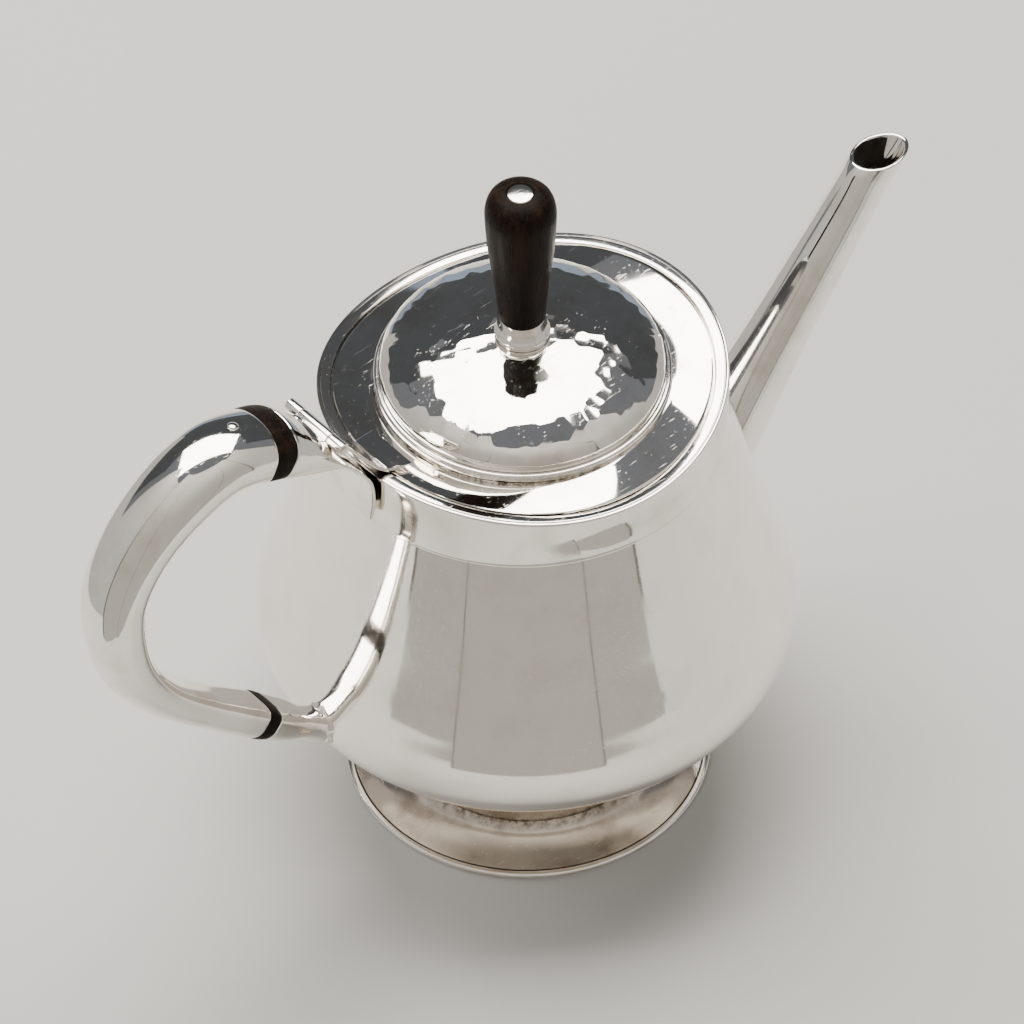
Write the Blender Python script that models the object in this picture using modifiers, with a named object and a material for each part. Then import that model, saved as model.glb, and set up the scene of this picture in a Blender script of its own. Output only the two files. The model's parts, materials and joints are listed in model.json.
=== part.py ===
"""Silver coffee pot with a hinged lid, a straight spout and an insulated hollow handle.

The pot stands on the plane z = 0. The spout points along +X, the handle along -X, and the
pot is the same on both sides of the plane y = 0. Every length is in metres.
"""

import math

import bmesh
import bpy
from mathutils import Matrix, Vector

# ---------------------------------------------------------------- fits and walls
GAP = 0.0003
SHEET = 0.0011
HANDLE_WALL = 0.0013
RING_STEPS = 36
SMALL_STEPS = 20
SECTION_SIDES = 16

# ---------------------------------------------------------------- foot
FOOT_RADIUS = 0.0462
FOOT_WIRE_WIDTH = 0.0019
FOOT_WIRE_HEIGHT = 0.0015
NECK_RADIUS = 0.0332
NECK_BASE = 0.0072
NECK_TOP = 0.0190
NECK_WALL = 0.0040

# ---------------------------------------------------------------- body
BOTTOM_HEIGHT = 0.0125
BOTTOM_RADIUS = 0.0200
UNDERSIDE_RADIUS = 0.0430
UNDERSIDE_HEIGHT = 0.0247
FLANK_RADIUS = 0.0572
FLANK_HEIGHT = 0.0368
BELLY_LOW_RADIUS = 0.0658
BELLY_LOW_HEIGHT = 0.0472
BELLY_RADIUS = 0.0678
BELLY_HEIGHT = 0.0562
BELLY_HIGH_RADIUS = 0.0652
BELLY_HIGH_HEIGHT = 0.0672
SHOULDER_RADIUS = 0.0600
SHOULDER_HEIGHT = 0.0850

# ---------------------------------------------------------------- rim and lid seat
RIM_RADIUS = 0.0512
RIM_HEIGHT = 0.1343
COLLAR_FLARE = 0.0004
COLLAR_HEIGHT = 0.0143
RIM_SADDLE = 0.0032
RIM_TILT = 0.0012
RIM_OVAL = 0.0014
BEZEL_WIDTH = 0.0024
BEZEL_DROP = 0.0006
LEDGE_WIDTH = 0.0010
LEDGE_THICKNESS = 0.0014

# ---------------------------------------------------------------- lid
PLATE_THICKNESS = 0.0012
PLATE_CENTRE_RISE = 0.0013
DOME_RADIUS = 0.0363
DOME_HEIGHT = 0.0130
DOME_BEAD_RADIUS = 0.0010
SEAT_RING_DEPTH = 0.0030
SEAT_RING_WALL = 0.0010
SEAT_RING_CLEARANCE = 0.0012

# ---------------------------------------------------------------- knob
FERRULE_RADIUS = 0.0061
FERRULE_HEIGHT = 0.0062
KNOB_FOOT_RADIUS = 0.0059
KNOB_RADIUS = 0.0090
KNOB_LENGTH = 0.0430
ROD_RADIUS = 0.0016
ROD_HEAD_RADIUS = 0.0033
ROD_HEAD_THICKNESS = 0.0010
WASHER_RADIUS = 0.0065
WASHER_THICKNESS = 0.0008
NUT_ACROSS_CORNERS = 0.0068
NUT_THICKNESS = 0.0026

# ---------------------------------------------------------------- hinge
HINGE_REACH = 0.0140
HINGE_RISE = 0.0233
HINGE_LENGTH = 0.0210
KNUCKLE_RADIUS = 0.00175
HINGE_PIN_RADIUS = 0.0008
LID_KNUCKLE_LENGTH = 0.0110
LEAF_THICKNESS = 0.0012

# ---------------------------------------------------------------- handle
INSULATOR_THICKNESS = 0.0060
LOWER_INSULATOR_THICKNESS = 0.0044
TENON_LENGTH = 0.0095
LOWER_TENON_LENGTH = 0.0075
POCKET_CLEARANCE = 0.0010
PIN_RADIUS = 0.0009
PIN_HEAD_RADIUS = 0.0015
PIN_HEAD_HEIGHT = 0.0006
UPPER_PIN_SPACING = 0.0072
LOWER_PIN_SPACING = 0.0055
LOWER_JOINT_HEIGHT = 0.0555

# ---------------------------------------------------------------- spout
SPOUT_ROOT_HEIGHT = 0.0710
SPOUT_ANGLE = math.radians(50.9)
SPOUT_MOUTH_HEIGHT = 0.1360
SPOUT_ROOT_RADIUS = 0.0104
SPOUT_MIDDLE_RADIUS = 0.0084
SPOUT_TIP_RADIUS = 0.0061
SPOUT_LIP = 0.0010
SPOUT_WALL = 0.0009
STRAINER_HOLE_RADIUS = 0.0014
STRAINER_PITCH = 0.0046

# ---------------------------------------------------------------- worked out from the sizes above
COLLAR_RADIUS = RIM_RADIUS + COLLAR_FLARE
COLLAR_BASE = RIM_HEIGHT - COLLAR_HEIGHT
RIM_INNER_RADIUS = RIM_RADIUS - SHEET
PLATE_RADIUS = RIM_INNER_RADIUS - GAP - BEZEL_WIDTH - GAP
PLATE_TOP = RIM_HEIGHT - BEZEL_DROP
PLATE_CENTRE_TOP = PLATE_TOP + PLATE_CENTRE_RISE
DOME_BASE = PLATE_CENTRE_TOP + 2 * GAP + 2 * DOME_BEAD_RADIUS
DOME_TOP = DOME_BASE + DOME_HEIGHT
KNOB_BASE = DOME_TOP + FERRULE_HEIGHT + GAP
KNOB_TOP = KNOB_BASE + KNOB_LENGTH
HANDLE_END_RADIUS = RIM_RADIUS + RIM_OVAL
HANDLE_END_HEIGHT = RIM_HEIGHT + RIM_SADDLE + RIM_TILT
HINGE_X = -(HANDLE_END_RADIUS + HINGE_REACH)
HINGE_Z = HANDLE_END_HEIGHT + HINGE_RISE

SILVER = ("silver", (0.90, 0.89, 0.86), 1.0, 0.16)
WORN_SILVER = ("worn_silver", (0.80, 0.78, 0.74), 1.0, 0.28)
EBONY = ("ebony", (0.030, 0.021, 0.017), 0.0, 0.42)


# ================================================================ helpers
def clear_scene():
    """Removes whatever the scene held before."""
    for obj in list(bpy.data.objects):
        bpy.data.objects.remove(obj, do_unlink=True)


def new_collection(name, hidden=False):
    """A collection linked to the scene; a hidden one is left out of renders."""
    collection = bpy.data.collections.new(name)
    bpy.context.scene.collection.children.link(collection)
    collection.hide_render = hidden
    return collection


def material_of(finish):
    """The Principled material of a finish, made once."""
    name, color, metallic, roughness = finish
    found = bpy.data.materials.get(name)
    if found:
        return found
    material = bpy.data.materials.new(name)
    material.use_nodes = True
    shader = material.node_tree.nodes["Principled BSDF"]
    shader.inputs["Base Color"].default_value = (*color, 1.0)
    shader.inputs["Metallic"].default_value = metallic
    shader.inputs["Roughness"].default_value = roughness
    material.diffuse_color = (*color, 1.0)
    return material


def add_object(name, mesh, finish, place=None):
    """Links a mesh as one object of the pot, or as a cutter where it has no finish."""
    obj = bpy.data.objects.new(name, mesh)
    if finish:
        parts.objects.link(obj)
        mesh.materials.append(material_of(finish))
        obj.parent = pot_frame
    else:
        cutters.objects.link(obj)
        obj.hide_render = True
        obj.display_type = "WIRE"
        obj.parent = pot_frame
    if place:
        obj.matrix_local = place
    mesh.shade_smooth()
    mesh.set_sharp_from_angle(angle=math.radians(35))
    return obj


def turned(name, profile, finish, steps=RING_STEPS, closed=True, place=None):
    """Turns a profile of (radius, height) about Z; it runs down its outer side."""
    mesh = bpy.data.meshes.new(name)
    points = [(radius, 0.0, height) for radius, height in profile]
    edges = [(i, i + 1) for i in range(len(points) - 1)]
    if closed:
        edges.append((len(points) - 1, 0))
    mesh.from_pydata(points, edges, [])
    obj = add_object(name, mesh, finish, place)
    screw = obj.modifiers.new("turn", "SCREW")
    screw.steps = steps
    screw.render_steps = steps
    screw.use_merge_vertices = True
    screw.merge_threshold = 0.00001
    screw.use_smooth_shade = True
    return obj


def lofted(name, rings, finish, capped=True):
    """A skin through rings of points, with flat ends where it is capped."""
    bm = bmesh.new()
    rows = [[bm.verts.new(point) for point in ring] for ring in rings]
    for row, following in zip(rows, rows[1:]):
        for i in range(len(row)):
            j = (i + 1) % len(row)
            bm.faces.new((row[i], row[j], following[j], following[i]))
    if capped:
        bm.faces.new(rows[0])
        bm.faces.new(rows[-1])
    bmesh.ops.recalc_face_normals(bm, faces=bm.faces)
    mesh = bpy.data.meshes.new(name)
    bm.to_mesh(mesh)
    bm.free()
    return add_object(name, mesh, finish)


def tube(name, outer, inner, finish):
    """A closed wall between an outer and an inner skin, each given as rings of points."""
    bm = bmesh.new()
    loop = outer + inner[::-1]
    rows = [[bm.verts.new(point) for point in ring] for ring in loop]
    for row, following in zip(rows, rows[1:] + rows[:1]):
        for i in range(len(row)):
            j = (i + 1) % len(row)
            bm.faces.new((row[i], row[j], following[j], following[i]))
    bmesh.ops.recalc_face_normals(bm, faces=bm.faces)
    mesh = bpy.data.meshes.new(name)
    bm.to_mesh(mesh)
    bm.free()
    return add_object(name, mesh, finish)


def thicken(obj, wall):
    """Gives an open skin its wall, inwards."""
    solid = obj.modifiers.new("wall", "SOLIDIFY")
    solid.thickness = wall
    solid.offset = -1.0
    solid.use_even_offset = True


def cut(obj, cutter):
    """Takes the cutter's shape out of the object."""
    boolean = obj.modifiers.new("cut_" + cutter.name, "BOOLEAN")
    boolean.operation = "DIFFERENCE"
    boolean.solver = "EXACT"
    boolean.object = cutter


def cylinder_cutter(name, radius, start, end, sides=SMALL_STEPS):
    """A cutting cylinder from one point to another."""
    axis = Vector(end) - Vector(start)
    bm = bmesh.new()
    bmesh.ops.create_cone(
        bm, cap_ends=True, segments=sides, radius1=radius, radius2=radius, depth=axis.length
    )
    mesh = bpy.data.meshes.new(name)
    bm.to_mesh(mesh)
    bm.free()
    turn = Vector((0, 0, 1)).rotation_difference(axis).to_matrix().to_4x4()
    place = Matrix.Translation((Vector(start) + Vector(end)) / 2) @ turn
    return add_object(name, mesh, None, place)


def smooth_curve(stations, per_span):
    """Points on a smooth curve through the stations, each a tuple of the same length."""
    points = []
    for i in range(len(stations) - 1):
        before = stations[max(i - 1, 0)]
        start = stations[i]
        end = stations[i + 1]
        after = stations[min(i + 2, len(stations) - 1)]
        for k in range(per_span):
            t = k / per_span
            points.append(tuple(hermite(*values, t) for values in zip(before, start, end, after)))
    points.append(tuple(stations[-1]))
    return points


def hermite(before, start, end, after, t):
    """One coordinate of the smooth curve, between start and end."""
    slope_in = (end - before) / 2
    slope_out = (after - start) / 2
    return (
        (2 * t**3 - 3 * t**2 + 1) * start
        + (t**3 - 2 * t**2 + t) * slope_in
        + (3 * t**2 - 2 * t**3) * end
        + (t**3 - t**2) * slope_out
    )


def arc(centre, radius, start, end, count):
    """Points on an arc of a profile, from one angle in degrees to another."""
    angles = [math.radians(start + (end - start) * i / count) for i in range(count + 1)]
    return [(centre[0] + radius * math.cos(a), centre[1] + radius * math.sin(a)) for a in angles]


def offset_profile(profile, distance):
    """The profile moved outwards by a distance, square to itself."""
    moved = []
    for i, (radius, height) in enumerate(profile):
        ahead = profile[min(i + 1, len(profile) - 1)]
        behind = profile[max(i - 1, 0)]
        run = Vector((ahead[0] - behind[0], ahead[1] - behind[1])).normalized()
        moved.append((max(radius - run.y * distance, 0.0), height + run.x * distance))
    return moved


def rim_warp(angle):
    """How far the rim moves out and up at an angle from the spout."""
    out = RIM_OVAL * math.cos(2 * angle)
    up = RIM_SADDLE * math.cos(2 * angle) - RIM_TILT * math.cos(angle)
    return out, up


def warp(obj, weight):
    """Makes a turned shape follow the rim's sweep, by a weight from (radius, height)."""
    bpy.context.view_layer.update()
    evaluated = obj.evaluated_get(bpy.context.evaluated_depsgraph_get())
    mesh = bpy.data.meshes.new_from_object(evaluated)
    obj.modifiers.clear()
    for vertex in mesh.vertices:
        x, y, z = vertex.co
        radius = math.hypot(x, y)
        share = weight(radius, z)
        if radius == 0 or share == 0:
            continue
        out, up = rim_warp(math.atan2(y, x))
        scale = 1 + share * out / radius
        vertex.co = (x * scale, y * scale, z + share * up)
    obj.data = mesh


def smooth_share(value, low, high):
    """0 below low and 1 above high, with a smooth step between them."""
    t = min(max((value - low) / (high - low), 0.0), 1.0)
    return t * t * (3 - 2 * t)


def collar_share(_, height):
    """The rim's sweep fades out down the collar."""
    return smooth_share(height, COLLAR_BASE, RIM_HEIGHT)


def lid_share(radius, _):
    """The plate's sweep fades out towards the dome."""
    t = (radius - DOME_RADIUS) / (PLATE_RADIUS - DOME_RADIUS)
    return min(max(t, 0.0), 1.0)


# ================================================================ foot and body
def body_profile():
    """The outside of the body from the collar down to the middle of its bottom."""
    stations = [
        (COLLAR_RADIUS, COLLAR_BASE),
        (SHOULDER_RADIUS, SHOULDER_HEIGHT),
        (BELLY_HIGH_RADIUS, BELLY_HIGH_HEIGHT),
        (BELLY_RADIUS, BELLY_HEIGHT),
        (BELLY_LOW_RADIUS, BELLY_LOW_HEIGHT),
        (FLANK_RADIUS, FLANK_HEIGHT),
        (UNDERSIDE_RADIUS, UNDERSIDE_HEIGHT),
        (BOTTOM_RADIUS, BOTTOM_HEIGHT),
    ]
    return smooth_curve(stations, 2) + [(0.0, BOTTOM_HEIGHT)]


def body_radius_at(height):
    """The body's outer radius at a height."""
    profile = body_profile()
    for upper, lower in zip(profile, profile[1:]):
        if lower[1] <= height <= upper[1] and upper[1] > lower[1]:
            t = (height - lower[1]) / (upper[1] - lower[1])
            return lower[0] + t * (upper[0] - lower[0])
    return COLLAR_RADIUS


def build_foot():
    """The foot's flared flange, the wire round its edge and the neck that carries the body."""
    inner = FOOT_RADIUS - FOOT_WIRE_WIDTH - GAP
    upper = [
        (NECK_RADIUS - 0.0004, NECK_BASE - GAP),
        (NECK_RADIUS + 0.0018, 0.0046),
        (NECK_RADIUS + 0.0060, 0.0026),
        (inner, FOOT_WIRE_HEIGHT),
    ]
    lower = [
        (inner, 0.0),
        (inner - 0.0022, 0.0),
        (NECK_RADIUS + 0.0044, 0.0012),
        (NECK_RADIUS, 0.0034),
        (NECK_RADIUS - NECK_WALL, NECK_BASE - GAP),
    ]
    turned("foot", smooth_curve(upper, 2) + lower, WORN_SILVER)
    half = FOOT_WIRE_WIDTH / 2
    crown = arc((FOOT_RADIUS - half, FOOT_WIRE_HEIGHT - half), half, 180, 0, 4)
    base = [(FOOT_RADIUS - 0.0003, 0.0), (FOOT_RADIUS - FOOT_WIRE_WIDTH + 0.0003, 0.0)]
    turned("foot_wire", crown + base, SILVER)


def build_body():
    """The raised shell, its collar and the neck ring, and the solid that trims what joins them."""
    profile = body_profile()
    shell = turned("body_shell", profile, SILVER, closed=False)
    thicken(shell, SHEET)
    top = (RIM_RADIUS, RIM_HEIGHT)
    base = (COLLAR_RADIUS, COLLAR_BASE + GAP)
    middle = ((top[0] + base[0]) / 2, (top[1] + base[1]) / 2)
    band = [
        (top[0] - 0.0003, top[1]),
        (top[0], top[1] - 0.0003),
        middle,
        base,
        (base[0] - SHEET, base[1]),
        (middle[0] - SHEET, middle[1]),
        (top[0] - SHEET, top[1] - 0.0003),
    ]
    warp(turned("collar_band", band, SILVER), collar_share)
    envelope = [(0.0, RIM_HEIGHT + GAP), (RIM_RADIUS + GAP, RIM_HEIGHT + GAP)]
    envelope += [(middle[0] + GAP, middle[1])]
    envelope += offset_profile(profile[:-1], GAP) + [(0.0, BOTTOM_HEIGHT - GAP)]
    trim = turned("pot_outline", envelope, None, closed=False)
    warp(trim, collar_share)
    neck_bulge = (NECK_RADIUS + 0.0004, (NECK_BASE + NECK_TOP) / 2)
    neck = [
        (NECK_RADIUS - 0.0012, NECK_TOP),
        neck_bulge,
        (NECK_RADIUS - 0.0004, NECK_BASE),
        (NECK_RADIUS - NECK_WALL, NECK_BASE),
        (NECK_RADIUS - NECK_WALL, NECK_TOP),
    ]
    cut(turned("neck_ring", neck, WORN_SILVER), trim)
    return shell, trim


def build_rim():
    """The bezel soldered inside the collar: a slope, and the ledge that the lid rests on."""
    outer = RIM_INNER_RADIUS - GAP
    inner = outer - BEZEL_WIDTH
    ledge = PLATE_TOP - PLATE_THICKNESS - GAP
    profile = [
        (outer - 0.0004, RIM_HEIGHT - 0.0001),
        (outer, RIM_HEIGHT - 0.0005),
        (outer, ledge - LEDGE_THICKNESS),
        (inner - LEDGE_WIDTH, ledge - LEDGE_THICKNESS),
        (inner - LEDGE_WIDTH, ledge),
        (inner, ledge),
        (inner, PLATE_TOP),
    ]
    warp(turned("rim_bezel", profile, SILVER), lambda *_: 1.0)
    return inner - LEDGE_WIDTH


# ================================================================ spout
def build_spout(shell, trim):
    """The tapered spout with its pouring lip, and the strainer holes behind it."""
    root = Vector((body_radius_at(SPOUT_ROOT_HEIGHT), 0.0, SPOUT_ROOT_HEIGHT))
    axis = Vector((math.cos(SPOUT_ANGLE), 0.0, math.sin(SPOUT_ANGLE)))
    square = Vector((math.sin(SPOUT_ANGLE), 0.0, -math.cos(SPOUT_ANGLE)))
    length = (SPOUT_MOUTH_HEIGHT - SPOUT_ROOT_HEIGHT) / math.sin(SPOUT_ANGLE)
    buried = -1.2 * SPOUT_ROOT_RADIUS
    mouth_half = SPOUT_TIP_RADIUS / math.sin(SPOUT_ANGLE)
    level = Vector((1.0, 0.0, -0.05)).normalized()
    stations = [
        (buried, SPOUT_ROOT_RADIUS * 1.12, 0.0),
        (0.0, SPOUT_ROOT_RADIUS, 0.0),
        (length * 0.30, SPOUT_MIDDLE_RADIUS, 0.0),
        (length * 0.62, (SPOUT_MIDDLE_RADIUS + SPOUT_TIP_RADIUS) / 2, 0.0),
        (length * 0.86, SPOUT_TIP_RADIUS * 1.05, 0.12),
        (length, SPOUT_TIP_RADIUS, 1.0),
    ]
    rings = []
    for along, radius, levelled in smooth_curve(stations, 2):
        run = square.lerp(level, levelled).normalized()
        reach = radius + levelled * (mouth_half - SPOUT_TIP_RADIUS)
        centre = root + axis * along
        ring = []
        for k in range(SECTION_SIDES):
            angle = 2 * math.pi * k / SECTION_SIDES
            out = reach * math.cos(angle)
            if out > 0:
                out += SPOUT_LIP * levelled * levelled * math.cos(angle) ** 3
            ring.append(centre + run * out + Vector((0.0, radius * math.sin(angle), 0.0)))
        rings.append(ring)
    spout = lofted("spout", rings, SILVER, capped=False)
    thicken(spout, SPOUT_WALL)
    cut(spout, trim)
    places = [(0.0, 0.0)]
    places += [(math.cos(a), math.sin(a)) for a in (math.radians(60 * k) for k in range(6))]
    for number, (across, side) in enumerate(places, 1):
        middle = root + square * across * STRAINER_PITCH
        middle += Vector((0.0, side * STRAINER_PITCH, 0.0))
        cutter = cylinder_cutter(
            f"strainer_hole_{number}",
            STRAINER_HOLE_RADIUS,
            middle - axis * 0.012,
            middle + axis * 0.012,
            10,
        )
        cut(shell, cutter)


# ================================================================ handle
class HandlePath:
    """The handle's centre line in the plane y = 0, with its width and depth all along it."""

    SPAN_SAMPLES = 16

    def __init__(self, stations):
        self.points = smooth_curve(stations, self.SPAN_SAMPLES)
        self.lengths = [0.0]
        for before, after in zip(self.points, self.points[1:]):
            step = math.hypot(after[0] - before[0], after[1] - before[1])
            self.lengths.append(self.lengths[-1] + step)

    def station(self, index):
        """The length along the path at one of its stations."""
        return self.lengths[index * self.SPAN_SAMPLES]

    def at(self, length):
        """(point, tangent, outward normal, width, depth) at a length along the path."""
        i = 0
        while i < len(self.lengths) - 2 and self.lengths[i + 1] < length:
            i += 1
        t = (length - self.lengths[i]) / (self.lengths[i + 1] - self.lengths[i])
        before = self.points[i]
        after = self.points[i + 1]
        x, z, width, depth = (a + (b - a) * t for a, b in zip(before, after))
        low = self.points[max(i - 1, 0)]
        high = self.points[min(i + 2, len(self.points) - 1)]
        tangent = Vector((high[0] - low[0], 0.0, high[1] - low[1])).normalized()
        normal = Vector((tangent.z, 0.0, -tangent.x))
        return Vector((x, 0.0, z)), tangent, normal, width, depth

    def ring(self, length, inset=0.0):
        """The section's points: round outside, flattened inside, made smaller by an inset."""
        centre, _, normal, width, depth = self.at(length)
        half_width = max(width / 2 - inset, 0.0002)
        half_depth = max(depth / 2 - inset, 0.0002)
        ring = []
        for k in range(SECTION_SIDES):
            angle = 2 * math.pi * k / SECTION_SIDES
            c, s = math.cos(angle), math.sin(angle)
            power = 1.0 if s > 0 else 0.5
            across = half_width * math.copysign(abs(c) ** power, c)
            out = half_depth * math.copysign(abs(s) ** power, s)
            ring.append(centre + normal * out + Vector((0.0, across, 0.0)))
        return ring

    def rings(self, lengths, inset=0.0):
        """Sections at each of the lengths."""
        return [self.ring(length, inset) for length in lengths]


def handle_stations():
    """(x, z, width, depth) from the collar, over the top and down to the belly."""
    upper = [
        (0.0008, -0.0150, 0.0100, 0.0018),
        (0.0010, -0.0078, 0.0130, 0.0020),
        (0.0022, -0.0002, 0.0146, 0.0020),
        (0.0054, 0.0062, 0.0166, 0.0020),
        (0.0092, 0.0118, 0.0186, 0.0022),
        (0.0132, 0.0166, 0.0206, 0.0032),
        (0.0170, 0.0202, 0.0210, 0.0070),
        (0.0212, 0.0238, 0.0214, 0.0107),
        (0.0262, 0.0274, 0.0218, 0.0136),
        (0.0323, 0.0312, 0.0215, 0.0144),
        (0.0464, 0.0353, 0.0208, 0.0144),
        (0.0604, 0.0311, 0.0198, 0.0143),
        (0.0724, 0.0221, 0.0184, 0.0136),
        (0.0797, 0.0098, 0.0174, 0.0132),
        (0.0808, -0.0032, 0.0168, 0.0131),
    ]
    lower = [
        (0.0618, 0.0635, 0.0156, 0.0123),
        (0.0522, 0.0477, 0.0138, 0.0107),
        (0.0382, 0.0329, 0.0129, 0.0099),
        (0.0210, 0.0171, 0.0133, 0.0102),
        (0.0120, 0.0094, 0.0114, 0.0091),
        (0.0042, 0.0031, 0.0080, 0.0071),
        (-0.0036, -0.0026, 0.0106, 0.0099),
    ]
    joint = body_radius_at(LOWER_JOINT_HEIGHT)
    stations = []
    for reach, rise, width, depth in upper:
        stations.append((-HANDLE_END_RADIUS - reach, HANDLE_END_HEIGHT + rise, width, depth))
    for reach, rise, width, depth in lower:
        stations.append((-joint - reach, LOWER_JOINT_HEIGHT + rise, width, depth))
    return stations


UPPER_INSULATOR_STATION = 9
LOWER_INSULATOR_STATION = 18


def spread(start, end, count):
    """Lengths spread evenly from one to another."""
    return [start + (end - start) * i / count for i in range(count + 1)]


def tenon_lengths(face, tenon):
    """Where a tenon has its sections: at the disc's face, half way along and at its end."""
    return [face, face + tenon * 0.5, face + tenon]


def build_insulator(name, path, middle, thickness, tenon):
    """A dark wood disc with a tenon on each side, which the hollow silver slips over."""
    half = thickness / 2
    inset = HANDLE_WALL + GAP
    before = tenon_lengths(middle - half, -tenon)
    after = tenon_lengths(middle + half, tenon)
    rings = [
        path.ring(before[2], inset + 0.0006),
        path.ring(before[1], inset),
        path.ring(before[0], inset),
        path.ring(before[0]),
        path.ring(middle),
        path.ring(after[0]),
        path.ring(after[0], inset),
        path.ring(after[1], inset),
        path.ring(after[2], inset + 0.0006),
    ]
    return lofted(name, rings, EBONY)


def build_pin(name, path, length, cut_objects):
    """A silver rivet through the wall into the tenon, with its hole."""
    centre, _, normal, _, depth = path.at(length)
    top = centre + normal * (depth / 2 + GAP)
    place = Matrix.Translation(top) @ Vector((0, 0, 1)).rotation_difference(normal).to_matrix().to_4x4()
    stem = depth * 0.62
    profile = [
        (0.0, PIN_HEAD_HEIGHT),
        (PIN_HEAD_RADIUS * 0.7, PIN_HEAD_HEIGHT * 0.7),
        (PIN_HEAD_RADIUS, 0.0),
        (PIN_RADIUS, 0.0),
        (PIN_RADIUS, -stem),
        (0.0, -stem),
    ]
    turned(name, profile, SILVER, steps=12, closed=False, place=place)
    hole = cylinder_cutter(
        name + "_hole",
        PIN_RADIUS + GAP,
        top - normal * (stem + GAP),
        top + normal * 0.003,
        12,
    )
    for obj in cut_objects:
        cut(obj, hole)


def build_handle(trim):
    """The socket on the collar, both insulators, the hollow grip, the lower socket and the pins."""
    path = HandlePath(handle_stations())
    upper = path.station(UPPER_INSULATOR_STATION)
    lower = path.station(LOWER_INSULATOR_STATION)
    upper_half = INSULATOR_THICKNESS / 2
    lower_half = LOWER_INSULATOR_THICKNESS / 2

    socket_lengths = spread(0.0, upper - upper_half - GAP, 14)
    socket = lofted("upper_handle_socket", path.rings(socket_lengths), SILVER)
    pocket = [upper, *tenon_lengths(upper - upper_half, -TENON_LENGTH)]
    pocket.append(pocket[-1] - POCKET_CLEARANCE)
    cut(socket, lofted("upper_pocket", path.rings(pocket, HANDLE_WALL), None))
    cut(socket, trim)
    top_fit = tenon_lengths(upper + upper_half, TENON_LENGTH)
    low_fit = tenon_lengths(lower - lower_half, -LOWER_TENON_LENGTH)[::-1]
    grip_lengths = top_fit + spread(top_fit[-1], low_fit[0], 15)[1:-1] + low_fit
    grip_lengths[0] += GAP
    grip_lengths[-1] -= GAP
    grip_inner = path.rings(grip_lengths, HANDLE_WALL)
    grip = tube("handle_grip", path.rings(grip_lengths), grip_inner, SILVER)
    foot_lengths = spread(lower + lower_half + GAP, path.lengths[-1], 9)
    foot_socket = lofted("lower_handle_socket", path.rings(foot_lengths), SILVER)
    pocket = [lower, *tenon_lengths(lower + lower_half, LOWER_TENON_LENGTH)]
    pocket.append(pocket[-1] + POCKET_CLEARANCE)
    cut(foot_socket, lofted("lower_pocket", path.rings(pocket, HANDLE_WALL), None))
    cut(foot_socket, trim)

    top_disc = build_insulator("upper_insulator", path, upper, INSULATOR_THICKNESS, TENON_LENGTH)
    low_disc = build_insulator(
        "lower_insulator", path, lower, LOWER_INSULATOR_THICKNESS, LOWER_TENON_LENGTH
    )
    upper_pin = upper_half + GAP + UPPER_PIN_SPACING
    lower_pin = lower_half + GAP + LOWER_PIN_SPACING
    build_pin("upper_socket_pin", path, upper - upper_pin, (socket, top_disc))
    build_pin("upper_grip_pin", path, upper + upper_pin, (grip, top_disc))
    build_pin("lower_grip_pin", path, lower - lower_pin, (grip, low_disc))
    build_pin("lower_socket_pin", path, lower + lower_pin, (foot_socket, low_disc))
    return socket


# ================================================================ hinge
def barrel_place(y):
    """Turns Z into Y and moves to a place along the hinge's axis."""
    return Matrix.Translation((HINGE_X, y, HINGE_Z)) @ Matrix.Rotation(-math.pi / 2, 4, "X")


def build_knuckle(name, start, end):
    """A short tube round the hinge pin."""
    bore = HINGE_PIN_RADIUS + GAP
    length = end - start
    profile = [
        (KNUCKLE_RADIUS, length),
        (KNUCKLE_RADIUS, 0.0),
        (bore, 0.0),
        (bore, length),
    ]
    turned(name, profile, SILVER, steps=20, place=barrel_place(start))


def build_hinge(socket):
    """Two knuckles on the handle socket, one on the lid's leaf, and the pin through them."""
    half = HINGE_LENGTH / 2
    lid_half = LID_KNUCKLE_LENGTH / 2
    build_knuckle("hinge_knuckle_left", lid_half + GAP, half)
    build_knuckle("hinge_knuckle_right", -half, -lid_half - GAP)
    build_knuckle("lid_knuckle", -lid_half, lid_half)
    pin = [
        (0.0, HINGE_LENGTH + 0.0002),
        (HINGE_PIN_RADIUS, HINGE_LENGTH + 0.0002),
        (HINGE_PIN_RADIUS, -0.0002),
        (0.0, -0.0002),
    ]
    turned("hinge_pin", pin, SILVER, steps=16, closed=False, place=barrel_place(-half))
    seat = cylinder_cutter(
        "barrel_seat",
        KNUCKLE_RADIUS + GAP,
        (HINGE_X, -half - 0.004, HINGE_Z),
        (HINGE_X, half + 0.004, HINGE_Z),
    )
    cut(socket, seat)
    build_leaf(seat)


def build_leaf(seat):
    """The strap from the lid's plate, over the rim and up to its knuckle."""
    stations = [
        (-0.0112, -0.0003, 0.0150),
        (-0.0070, 0.0003, 0.0140),
        (-0.0026, 0.0017, 0.0124),
        (0.0014, 0.0058, 0.0112),
        (0.0058, 0.0121, 0.0108),
        (0.0100, 0.0180, 0.0106),
        (0.0130, 0.0222, 0.0104),
    ]
    places = []
    for reach, rise, width in stations:
        places.append((-HANDLE_END_RADIUS - reach, HANDLE_END_HEIGHT + rise, width))
    points = smooth_curve(places, 2)
    rings = []
    for i, (x, z, width) in enumerate(points):
        ahead = points[min(i + 1, len(points) - 1)]
        behind = points[max(i - 1, 0)]
        run = Vector((ahead[0] - behind[0], 0.0, ahead[1] - behind[1])).normalized()
        up = Vector((run.z, 0.0, -run.x)) * LEAF_THICKNESS / 2
        side = Vector((0.0, width / 2, 0.0))
        middle = Vector((x, 0.0, z))
        rings.append([middle + up - side, middle + up + side, middle - up + side, middle - up - side])
    leaf = lofted("lid_hinge_leaf", rings, SILVER)
    cut(leaf, seat)


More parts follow.
